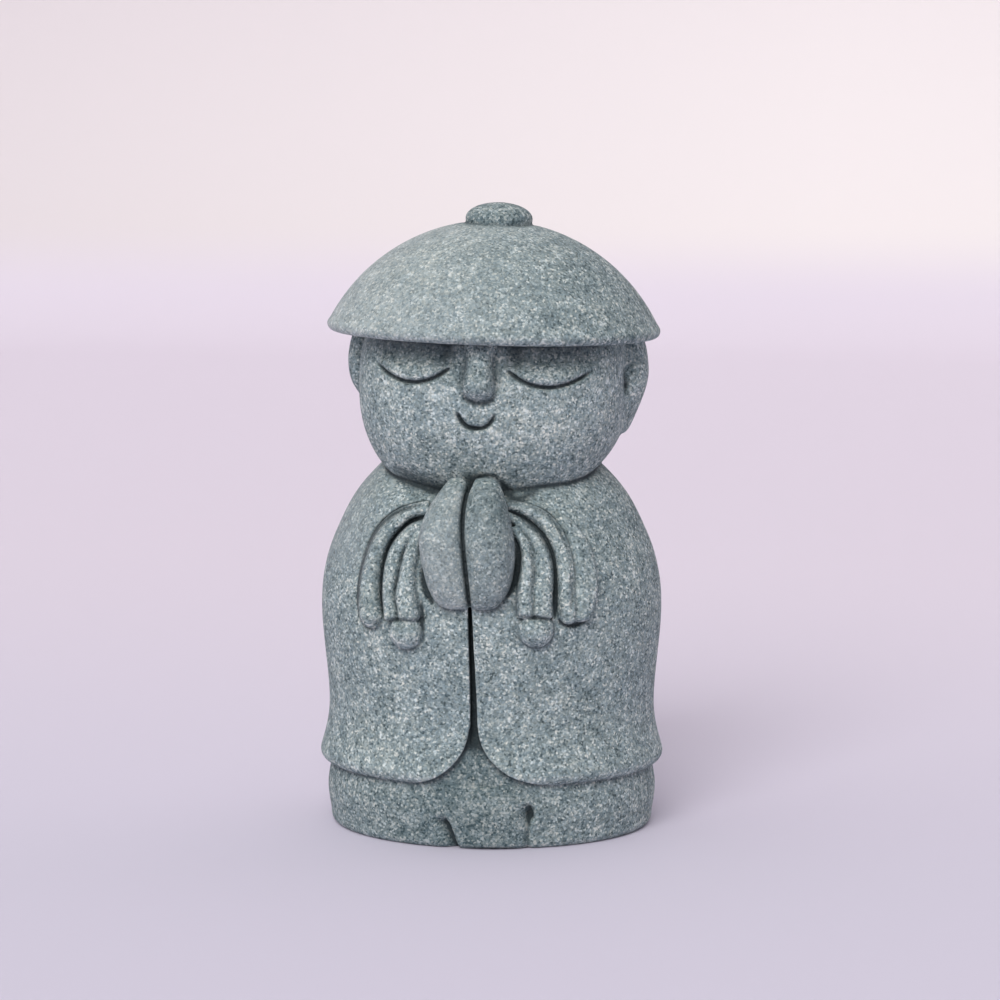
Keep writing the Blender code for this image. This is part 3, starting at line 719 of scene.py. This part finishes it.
def carveFace(skin):
    place = toHead(skin.points)
    face = patch(measure(place), fields["face"])
    lid, socket, corner, mouth, mouthCorner, eyeLine = (
        carving[name] for name in ("lid", "socket", "corner", "mouth", "mouthCorner", "eyeLine")
    )

    def press(path, width, depth, paintedShade=0.0, **others):
        stroke(skin, face, path, width, depth, paintedShade, points=place, **others)

    for eye in carving["eyes"]:
        out = eye["out"]
        hollow = [(out + end * socket["half"], socket["height"]) for end in (-1, 1)]
        press(hollow, socket["width"], socket["depth"], socket["paintedShade"], ends=0)
        beside = math.copysign(corner["out"], out)
        inner = [(beside, corner["height"] + reach) for reach in corner["reach"]]
        press(inner, corner["width"], corner["depth"], corner["paintedShade"], ends=0)
        over = downwardArc(eye, eye["rise"] * lid["rise"], lid["over"])
        press(over, lid["width"], -lid["height"], ends=lid["ends"])
        line = downwardArc(eye, eye["rise"])
        press(line, eyeLine["width"], eyeLine["depth"], eyeLine["paintedShade"])
    line = downwardArc(mouth, mouth["rise"], power=mouth["power"])
    width, depth, paintedShade = mouth["width"], mouth["depth"], mouth["paintedShade"]
    press(line, width, depth, paintedShade, ends=mouth["ends"])
    press(line[mouthCorner["part"]], width * mouthCorner["width"], depth * mouthCorner["depth"], paintedShade)
    for width, depth, paintedShade, path in carving["noseLines"]:
        press(path, width, depth, paintedShade, ends=carving["noseEnds"])
    skin.points = shifted(place, leanHead)
    stroke(skin, patch(measure(skin.points), fields["ear"]), **carving["earLine"])


# How far each point stands out in front of the plain robe
def proudOf(skin):
    halfWidths = np.interp(skin.points[:, 2], robeHeights, robeHalfWidths)
    inside = np.clip(1.0 - (skin.points[:, 0] / halfWidths) ** 2, 0.0, 1.0)
    return -halfWidths * robe["depthShare"] * np.sqrt(inside) - skin.points[:, 1]


# How far each point lies down in a groove: the gap to a well smoothed copy of the skin
def depthBelow(skin, rounds):
    normals = skin.normals()
    kept = skin.points.copy()
    skin.soften(rounds, clay["smoothing"])
    depth = ((skin.points - kept) * normals).sum(axis=1)
    skin.points = kept
    skin.write()
    return depth


# Where the crease between chin and collar lies, at a row of x
def deepest(skin, hollow, places):
    collar = carving["collarLine"]
    crease = patch(measure(skin.points), fields["crease"]) > 0
    found = []
    for x in places:
        near = np.flatnonzero(crease & (np.abs(skin.points[:, 0] - x) < collar["reach"]))
        picked = near[hollow[near] > collar["deep"] * hollow[near].max()]
        found.append((x, skin.points[picked, 2].mean()))
    return found


def carveRobe(skin):
    proud = proudOf(skin)

    def field(name):
        return patch(measure(skin.points, proud=proud), fields[name])

    folded = field("folds")
    for width, depth, paintedShade, ends, path in carving["grooves"]:
        stroke(skin, folded, path, width, depth, paintedShade, ends)
    width, depth, paintedShade, ends, path = carving["split"]
    stroke(skin, field("palms"), path, width, depth, paintedShade, ends)
    behind = field("behind")
    for width, depth, paintedShade, path in carving["underChin"]:
        stroke(skin, behind, path, width, depth, paintedShade, carving["underChinEnds"])
    collar = carving["collarLine"]
    hollow = depthBelow(skin, collar["rounds"])
    for side in collar["sides"]:
        path = deepest(skin, hollow, np.linspace(*side, collar["steps"]))
        stroke(skin, behind, path, collar["width"], collar["depth"], collar["paintedShade"], collar["ends"])
    foot = field("foot")
    stroke(skin, field("tongue"), **carving["tongue"], ends=0)
    for right, left, depth, top, path in carving["chips"]:
        chip(skin, foot, path, right, left, depth, top)


# A chip broken along a line: steep on one side of it and sloping on the other, with painted shade along the
# break
def chip(skin, where, path, right, left, depth, top):
    picked = np.flatnonzero(where)
    flat = skin.points[picked][:, [0, 2]]
    gap = nearness(flat, path)[0]
    line = np.array(path)[::-1]
    side = flat[:, 0] - np.interp(flat[:, 1], line[:, 1], line[:, 0])
    width = np.where(side > 0, right, left)
    amount = depth * np.exp(-((gap / width) ** 2)) * smoothStep(0.0, carving["chipFade"], top - flat[:, 1])
    skin.points[picked, 1] += amount
    # painted shade in the break, as deep as the chip
    paintedShade = np.exp(-((gap / carving["chipShadeWidth"]) ** 2)) * amount
    skin.paintedShade[picked] = np.maximum(skin.paintedShade[picked], paintedShade)


def sharpen(skin, rounds, most, share):
    depth = depthBelow(skin, rounds)
    skin.points -= skin.normals() * (share * np.clip(depth, 0.0, most))[:, None]


# Softens one place, as far as its mask says
def softenPatch(skin, mask, rounds):
    inside = np.flatnonzero(mask > 0.001)
    number = np.full(skin.count, -1)
    number[inside] = np.arange(len(inside))
    ends = number[skin.edges]
    ends = ends[(ends >= 0).all(axis=1)]
    degree = np.bincount(ends.ravel(), minlength=len(inside)).clip(1)
    share = clay["pull"] * mask[inside][:, None]
    points = skin.points[inside]
    for _ in range(rounds):
        points += share * (averaged(points, ends, degree) - points)
    skin.points[inside] = points


# In the head's own frame: the lower part of each ear into the cheek, then the sides of the nose
atEars = ("fromEars", 3.4, 0.8)
blends = {
    "ears": -1.6,  # their place in y
    "patches": [  # rounds, share and parts of each patch
        (160, 1, [atEars, ("x", 12, 13.2), ("z", 0.2, -1.2), ("z", -8.5, -7)]),
        (160, 1, [atEars, ("x", -12, -13.2), ("z", -0.6, -2), ("z", -8.5, -7)]),
        (40, 0.5, [atEars, ("side", 12, 13.2), ("z", 0.2, 1), ("z", 4.9, 4.4)]),
        (120, 1, [atEars, ("x", 12, 13.2), ("z", 2.3, 3), ("z", 5.4, 5)]),
        (5, 1, [("side", 3.4, 2.4), ("y", -8, -10), ("z", -1.4, 0.4), ("z", 5.3, 4.4)]),
    ],
}


def blendHead(skin):
    place = toHead(skin.points)
    measured = measure(place, fromEars=np.abs(place[:, 1] - blends["ears"]))
    for rounds, share, parts in blends["patches"]:
        softenPatch(skin, patch(measured, parts) * share, rounds)


skin = Skin(figure.data)
skin.soften(*clay["softening"])
blendHead(skin)
carveFace(skin)
carveRobe(skin)
skin.soften(*clay["settling"])
for rounds, most, share in carving["sharpening"]:
    sharpen(skin, rounds, most, share)
skin.write()
print("carved")


# Finish: painted shade in the hollows and where shade falls, painted light on ridges and lit sides, and
# places rubbed smoother and paler, partly a painted sheen, laid on the skin for the material

places = {
    # neck, behindHands, tips and opening say where painted shade gathers: under the chin, round the fingers'
    # tips and in the slit
    "neck": [("z", 36, 38), ("z", 46.5, 44.5), ("y", 2, -6)],
    "behindHands": [around("x", -0.3, 6)],
    "tips": [
        around("x", -0.65, 0.8), ("z", 37.8, 38.4), ("z", 41.5, 40.3), below("y", -9), ("y", -14.6, -13.6),
    ],
    "opening": [("proud", -0.1, -0.5), ("z", 10.4, 11.4), ("z", 29, 28), below("y", -8)],
    "rightEar": [("x", 12.5, 13.5), ("z", 50, 51), ("z", 56.5, 55.5)],
    "hands": [("y", -16.2, -16.8), ("x", -6.3, -5.7), ("x", 5.5, 4.9), ("z", 26.4, 27), ("z", 43, 41.5)],
    "leftHand": [("x", 0, -1)],
    "rightPalm": [("x", -0.9, -0.2)],
    "palmTop": [("z", 33, 36.5), ("x", 1.2, 3.4)],
    "hat": [("z", 54, 56), ("z", 67.9, 67.3)],
    # painted light on the hat's lit left side
    "hatLitSide": [("x", 12, -10)],
    # smoother and paler on the hat's left, partly a painted sheen where light falls
    "hatSheenAndRubbed": [("x", 13, -8)],
    # painted shade on the hat's right side, away from the light
    "hatShadedSide": [("x", 3, 13)],
    "button": [("z", 67.3, 67.9)],
    "rim": [("inHead", 5, 5.3), ("inHead", 6.8, 5.8)],
    "brow": [("z", 49.8, 51.6), ("z", 56.5, 55.5), ("y", -4, -8)],
    "nose": [
        ("x", -2.22, -1.42), ("x", 2.98, 2.18), ("z", 48.6, 49.4), ("z", 56.5, 55.5), ("y", -13, -14.5),
    ],
    "cheek": [around("x", 6, 5), around("z", 46.5, 4.5), below("y", 0)],
    "face": [("z", 39.5, 42), ("z", 54, 51), ("y", -4, -8)],
    "chin": [around("x", -3, 4.5), ("z", 39, 41), ("z", 45.5, 42.5), below("y", -8)],
    "standing": [("proud", 0.8, 1.6)],
    "leftShoulder": [("x", -9, -14), ("z", 28, 32), ("z", 44, 40)],
    "rightShoulder": [("x", 9, 14), ("z", 24, 30), ("z", 46, 40)],
    "leftBody": [("x", -6, -11), ("z", 8, 12), ("z", 33, 26)],
    "foot": [("z", 7.6, 6.6)],
    "underRobe": [("proud", -0.3, -0.7), ("z", 14, 12.5)],
    "middle": [around("x", 0, 8), below("y", 0)],
}
touches = {  # how strong each touch is, and the places that together say where it goes
    # crest: painted light on the cheeks, the face, the hat's left and the left hand, added to painted
    # highlights on ridges
    "crest": [(0.6, "cheek"), (0.27, "face"), (1, "hat", "hatLitSide"), (0.25, "hands", "leftHand")],
    # polish: rubbed stone, smoother and paler, on the hands; on the hat's left and the left shoulder also a
    # painted sheen
    "polishAndSheen": [
        (0.3, "hat", "hatSheenAndRubbed"), (0.25, "leftShoulder"), (0.22, "hands"), (0.08, "hands", "leftHand"),
    ],
    # shade: painted shade on the hat's right, the rim's underside, the brow and nose under the brim, the
    # chin, the right hand, below the chin, the right shoulder and the body's left; the button made darker
    "shade": [
        (0.24, "button"), (0.1, "hat", "hatShadedSide"), (0.08, "rim"), (0.1, "brow"), (0.08, "nose"),
        (0.08, "chin"), (0.2, "hands", "rightPalm"), (0.24, "hands", "palmTop"), (0.08, "neck", "standing"),
        (0.09, "rightShoulder"), (0.06, "leftBody"),
    ],
}
# Painted light and shade: darkness in hollows where shade falls, more under the chin and behind the hands,
# painted highlights on ridges, and the foot's darkening
paintedLightAndShade = {
    "broad": {"rounds": 60, "full": 0.6, "from": 0.06, "dark": 0.75, "neck": 1.6, "behindHands": 2.4},
    "fine": {"rounds": 10, "full": 0.17, "from": 0.12, "dark": 0.6},
    "tips": 1.1, "sparedEar": 0.8, "dullNose": 0.8,
    "highlightRise": 0.5, "mostCrest": 1.4,  # how far a point stands out where its painted highlight is fullest, and the limit
    "base": {"shade": 0.14, "slope": 0.08, "reach": 10.0, "middle": 0.36},  # the foot and the recessed under-robe darker: partly their own darker, greener tone, partly painted shade under the hem, most in the middle and towards the left
}


def layFinish(skin):
    measured = measure(skin.points, proud=proudOf(skin), inHead=toHead(skin.points)[:, 2])
    at = {name: patch(measured, parts) for name, parts in places.items()}
    crest, polishAndSheen, shade = (
        sum(strength * np.prod([at[name] for name in names], axis=0) for strength, *names in touches[layer])
        for layer in ("crest", "polishAndSheen", "shade")
    )
    broad, fine, base = paintedLightAndShade["broad"], paintedLightAndShade["fine"], paintedLightAndShade["base"]
    # painted shade in hollows: the deeper a point lies below a smoothed copy of the skin, the darker
    hollow = depthBelow(skin, broad["rounds"])
    gathered = 1.0 + at["neck"] * (broad["neck"] + broad["behindHands"] * at["behindHands"])
    spared = 1.0 - paintedLightAndShade["sparedEar"] * at["rightEar"]
    wide = np.clip(hollow / broad["full"] * gathered - broad["from"], 0.0, 1.0) * broad["dark"] * spared
    narrow = depthBelow(skin, fine["rounds"]) / fine["full"] - fine["from"]
    narrow = np.clip(narrow, 0.0, 1.0) * fine["dark"] * spared
    # crease: painted shade of wide and narrow hollows, of the strokes, in the opening down the front and
    # round the fingers' tips
    crease = wide + np.maximum(narrow, skin.paintedShade) + at["opening"] + paintedLightAndShade["tips"] * at["tips"]
    # painted highlights on ridges, and the painted light of the crest places
    crest = np.clip(crest + np.clip(-hollow / paintedLightAndShade["highlightRise"], 0.0, 1.0), 0.0, paintedLightAndShade["mostCrest"])
    toRight = np.clip(measured["x"] / base["reach"], -1.0, 1.0)
    low = base["shade"] - base["slope"] * toRight + base["middle"] * at["middle"]
    finish = {
        "crease": np.clip(crease, 0.0, 1.0),
        # the nose, under the brim, keeps little of its painted highlight
        "crest": crest * (1.0 - paintedLightAndShade["dullNose"] * at["nose"]),
        "polishAndSheen": polishAndSheen,
        # the foot: its darker tone and painted shade under the hem
        "shade": shade + low * np.clip(at["foot"] + at["underRobe"], 0.0, 1.0),
    }
    for name, values in finish.items():
        layer = skin.mesh.attributes.new(name, "FLOAT", "POINT")
        layer.data.foreach_set("value", values.astype(np.float32))


layFinish(skin)
print("finish laid on")


# The finished casting: thinned where it is plain, then given the grain of its surface

def thin(made, mostTriangles):
    triangles = sum(len(face.vertices) - 2 for face in made.data.polygons)
    step = made.modifiers.new("thinned", "DECIMATE")
    step.ratio = min(1.0, mostTriangles / triangles)
    applyModifiers(made)
    print("thinned from", triangles, "triangles to", len(made.data.polygons), "faces")


# Drops the crumbs that the remesh leaves inside, where forms meet
def keepLargest(made):
    mesh = bmesh.new()
    mesh.from_mesh(made.data)
    left = set(mesh.verts)
    islands = []
    while left:
        island = [left.pop()]
        for vert in island:
            reached = {edge.other_vert(vert) for edge in vert.link_edges} & left
            left -= reached
            island += reached
        islands.append(island)
    islands.sort(key=len)
    for crumb in islands[:-1]:
        bmesh.ops.delete(mesh, geom=crumb, context="VERTS")
    mesh.to_mesh(made.data)
    mesh.free()
    print("dropped", len(islands) - 1, "crumbs")


thin(figure, clay["mostTriangles"])
keepLargest(figure)
figure.data.transform(Matrix.Diagonal((unit, unit, unit, 1.0)))
figure.data.shade_smooth()


# Shader values as Python expressions: arithmetic on a value adds Math nodes

class Value:
    def __init__(self, bench, socket):
        self.bench = bench
        self.socket = socket

    def math(self, operation, first, second):
        return self.bench.node("ShaderNodeMath", {"operation": operation}, {0: first, 1: second})

    def __add__(self, other):
        return self.math("ADD", self, other)

    def __sub__(self, other):
        return self.math("SUBTRACT", self, other)

    def __rsub__(self, other):
        return self.math("SUBTRACT", other, self)

    def __mul__(self, other):
        return self.math("MULTIPLY", self, other)

    __radd__ = __add__
    __rmul__ = __mul__


class Bench:
    def __init__(self, name):
        self.material = bpy.data.materials.new(name)
        self.material.use_nodes = True
        self.tree = self.material.node_tree
        self.shader = self.tree.nodes["Principled BSDF"]

    def node(self, kind, settings, inputs, output=0):
        made = self.tree.nodes.new(kind)
        for name, value in settings.items():
            if name == "stops":
                for i, (position, colour) in enumerate(value):
                    stops = made.color_ramp.elements
                    stop = stops[i] if i < 2 else stops.new(position)
                    stop.position = position
                    stop.color = colour
            else:
                setattr(made, name, value)
        for key, value in inputs.items():
            self.feed(made, key, value)
        return Value(self, made.outputs[output])

    def feed(self, made, key, value):
        if isinstance(value, Value):
            self.tree.links.new(value.socket, made.inputs[key])
        else:
            made.inputs[key].default_value = value

    def mix(self, factor, first, second, blend="MIX"):
        settings = {"data_type": "RGBA", "blend_type": blend}
        return self.node("ShaderNodeMix", settings, {0: factor, 6: first, 7: second}, output=2)


stone = {
    "powder": (0.15, 0.3),  # size in millimetres and strength
    "grains": {"size": 0.23, "pale": 0.38, "dark": 0.36, "rarity": (0.62, 0.95)},
    "clouds": [(0.42, 0.36), (0.85, 0.52), (2.2, 0.45)],  # sizes and strengths
    "cloudDetail": 1.0,
    "hues": ((0.95, 1.0, 1.05, 1.0), (1.05, 1.0, 0.95, 1.0)),  # between these from grain to grain
    "mottle": {"size": 7.0, "detail": 3.0, "tints": ((0.88, 0.92, 0.95, 1.0), (1.1, 1.08, 1.03, 1.0))},
    "shadeContrast": 0.8,  # how much stronger the grain is where the shade layer darkens the stone
    # how much the painted highlight lifts the tone
    "crestGain": 0.14,
    "cover": {"polishAndSheen": 0.5, "crease": 0.92},  # how far the pale tone, of rubbed stone and of painted sheen, and the dark tone of painted shade cover the stone
    # the tone of the painted shade in hollows and creases
    "dark": (0.022, 0.033, 0.038, 1.0),
    # the darker, greener tone of the shade layer: painted shade, and on the foot partly its own tone
    "shadeTone": (0.038, 0.073, 0.082, 1.0),
    # the pale tone of rubbed stone, also a painted sheen on lit sides
    "rubbedAndSheen": (0.33, 0.34, 0.345, 1.0),
    "stops": [
        (0.0, (0.06, 0.088, 0.098, 1.0)),
        (0.25, (0.158, 0.208, 0.222, 1.0)),
        (0.5, (0.25, 0.312, 0.325, 1.0)),
        (0.75, (0.43, 0.495, 0.5, 1.0)),
        (1.0, (0.72, 0.76, 0.745, 1.0)),
    ],
    "roughness": {"plain": 0.88, "grain": 0.1, "polishAndSheen": 0.8},
    "bump": {"strength": 0.6, "depth": 0.05},
    "specular": 0.35,
}


def stoneMaterial():
    bench = Bench("castStone")
    place = bench.node("ShaderNodeTexCoord", {}, {}, output=3)
    crease, crest, polishAndSheen, shade = (
        bench.node("ShaderNodeAttribute", {"attribute_name": name}, {}, output=2)
        for name in ("crease", "crest", "polishAndSheen", "shade")
    )

    def texture(kind, size, others, output=0):
        return bench.node(kind, {}, {"Vector": place, "Scale": 1.0 / (size * unit), **others}, output)

    def channel(colour, index):
        return bench.node("ShaderNodeSeparateColor", {}, {0: colour}, index)

    size, strength = stone["powder"]
    powder = texture("ShaderNodeTexVoronoi", size, {}, output=1)
    speckle = (channel(powder, 0) - 0.5) * strength
    grains = stone["grains"]
    cells = texture("ShaderNodeTexVoronoi", grains["size"], {}, output=1)
    least, most = grains["rarity"]
    for index, strength in enumerate((grains["pale"], -grains["dark"])):
        ends = {"Value": channel(cells, index), "From Min": least, "From Max": most}
        speckle = bench.node("ShaderNodeMapRange", {}, ends) * strength + speckle
    for size, strength in stone["clouds"]:
        cloud = texture("ShaderNodeTexNoise", size, {"Detail": stone["cloudDetail"]})
        speckle = (cloud - 0.5) * strength + speckle
    # the grain is softer under the polish layer, rubbed stone and painted sheen, and stronger under painted
    # shade; the crest lifts the tone as a painted highlight
    contrast = 1.0 - polishAndSheen + shade * stone["shadeContrast"]
    level = speckle * contrast + crest * stone["crestGain"] + 0.5
    colour = bench.node("ShaderNodeValToRGB", {"stops": stone["stops"]}, {0: level})
    mottle = stone["mottle"]
    tint = texture("ShaderNodeTexNoise", mottle["size"], {"Detail": mottle["detail"]})
    tint = bench.mix(tint, *mottle["tints"])
    colour = bench.mix(1.0, colour, tint, "MULTIPLY")
    colour = bench.mix(1.0, colour, bench.mix(channel(cells, 2), *stone["hues"]), "MULTIPLY")
    cover, roughness, bump = stone["cover"], stone["roughness"], stone["bump"]
    # the pale tone: rubbed stone, and painted sheen on lit sides
    colour = bench.mix(polishAndSheen * cover["polishAndSheen"], colour, stone["rubbedAndSheen"])
    # painted shade, and the foot's darker tone
    colour = bench.mix(shade, colour, stone["shadeTone"])
    # painted shade in hollows and creases
    colour = bench.mix(crease * cover["crease"], colour, stone["dark"])
    rough = roughness["plain"] + speckle * roughness["grain"] - polishAndSheen * roughness["polishAndSheen"]
    relief = {"Height": level, "Strength": bump["strength"], "Distance": bump["depth"] * unit}
    bench.feed(bench.shader, "Base Color", colour)
    bench.feed(bench.shader, "Roughness", rough)
    bench.feed(bench.shader, "Normal", bench.node("ShaderNodeBump", {}, relief))
    bench.shader.inputs["Specular IOR Level"].default_value = stone["specular"]
    return bench.material


figure.data.materials.clear()
figure.data.materials.append(stoneMaterial())
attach(figure, "root")
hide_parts("monk_statuette")
print("stone finish")


# Studio: a pale sweep, soft lights and the camera

studio = {
    "near": -9.0, "far": 0.8, "wall": 2.2, "halfWidth": 9.0, "bend": 0.16, "bendSteps": 24,
    # where the tones of the far floor, the wall and its right side set in: painted light and shade on the
    # backdrop
    "farFade": (-0.06, 0.22), "wallFade": (0.012, 0.036), "rightFade": (-0.28, 0.02),
    # the near floor painted darker than the far floor, and the wall painted darker on its left: painted
    # light and shade
    "floorColour": (0.694, 0.66, 0.775, 1.0),
    "farFloorColour": (0.768, 0.704, 0.801, 1.0),
    "wallColours": ((0.744, 0.686, 0.713, 1.0), (0.854, 0.8, 0.806, 1.0)),  # left and right
    "roughness": 0.9, "specular": 0.1,
}
camera = {
    "azimuth": math.radians(7.0), "pitch": math.radians(7.5), "away": 0.378, "height": 0.084,
    "lens": 121.7, "sensor": 36.0, "shift": (0.0085, 0.0204), "nearest": 0.01,
}
suns = [
    {"from": (-0.14, -0.95, 0.7), "angle": 36.0, "strength": 1.83, "colour": (1.0, 0.99, 0.975)},
    {"from": (-0.58, 0.45, 1.0), "angle": 130.0, "strength": 1.06, "colour": (1.0, 0.99, 0.98)},
]
air = {
    "light": (0.276, 0.276, 0.285, 1.0),
    "seen": (0.68, 0.61, 0.73, 1.0),  # the same tone as the far floor, beyond its edge
}


def makeStage():
    mesh = bmesh.new()
    bend = studio["bend"]
    curve = arc((studio["far"] - bend, bend), (bend, bend), -90, 0, studio["bendSteps"])
    profile = [(studio["near"], 0.0), *curve, (studio["far"], studio["wall"])]
    line = [mesh.verts.new((-studio["halfWidth"], y, z)) for y, z in profile]
    edges = [mesh.edges.new(pair) for pair in zip(line, line[1:])]
    draw(mesh, bmesh.ops.extrude_edge_only(mesh, edges=edges), (2 * studio["halfWidth"], 0.0, 0.0))
    bmesh.ops.reverse_faces(mesh, faces=mesh.faces)
    made = asObject(mesh, "studioSweep")
    made.data.shade_smooth()
    bench = Bench("palePaper")
    place = bench.node("ShaderNodeTexCoord", {}, {}, output=3)
    across, depth, height = (
        bench.node("ShaderNodeSeparateXYZ", {}, {0: place}, output=axis) for axis in range(3)
    )

    def share(value, fade, kind):
        ends = {"Value": value, "From Min": fade[0], "From Max": fade[1]}
        return bench.node("ShaderNodeMapRange", {"interpolation_type": kind}, ends)

    farShare = share(depth, studio["farFade"], "SMOOTHSTEP")
    wallShare = share(height, studio["wallFade"], "SMOOTHSTEP")
    rightShare = share(across, studio["rightFade"], "LINEAR")
    # painted light and shade: the far floor lighter, the wall lighter towards its right
    floor = bench.mix(farShare, studio["floorColour"], studio["farFloorColour"])
    colour = bench.mix(wallShare, floor, bench.mix(rightShare, *studio["wallColours"]))
    bench.feed(bench.shader, "Base Color", colour)
    bench.shader.inputs["Roughness"].default_value = studio["roughness"]
    bench.shader.inputs["Specular IOR Level"].default_value = studio["specular"]
    made.data.materials.append(bench.material)


def makeSun(sun, name):
    lamp = bpy.data.lights.new(name, "SUN")
    lamp.angle = math.radians(sun["angle"])
    lamp.energy = sun["strength"]
    lamp.color = sun["colour"]
    made = linked(name, lamp)
    made.rotation_euler = (-Vector(sun["from"])).to_track_quat("-Z", "Y").to_euler()


def makeCamera():
    azimuth, pitch = camera["azimuth"], camera["pitch"]
    lens = bpy.data.cameras.new("camera")
    lens.sensor_width = camera["sensor"]
    lens.lens = camera["lens"]
    lens.shift_x, lens.shift_y = camera["shift"]
    lens.clip_start = camera["nearest"]
    made = linked("camera", lens)
    away = camera["away"]
    made.location = (away * math.sin(azimuth), -away * math.cos(azimuth), camera["height"])
    level = math.cos(pitch)
    aim = Vector((-math.sin(azimuth) * level, math.cos(azimuth) * level, -math.sin(pitch)))
    made.rotation_euler = aim.to_track_quat("-Z", "Y").to_euler()
    bpy.context.scene.camera = made


def makeAir():
    world = bpy.data.worlds.new("studioAir")
    world.use_nodes = True
    tree = world.node_tree
    ray = tree.nodes.new("ShaderNodeLightPath")
    tone = tree.nodes.new("ShaderNodeMix")
    tone.data_type = "RGBA"
    tone.inputs[6].default_value = air["light"]
    tone.inputs[7].default_value = air["seen"]
    tree.links.new(ray.outputs["Is Camera Ray"], tone.inputs[0])
    tree.links.new(tone.outputs[2], tree.nodes["Background"].inputs["Color"])
    bpy.context.scene.world = world


makeStage()
for number, sun in enumerate(suns, 1):
    makeSun(sun, f"softSun{number}")
makeCamera()
makeAir()
bpy.context.scene.view_settings.view_transform = "Standard"
print("studio ready")
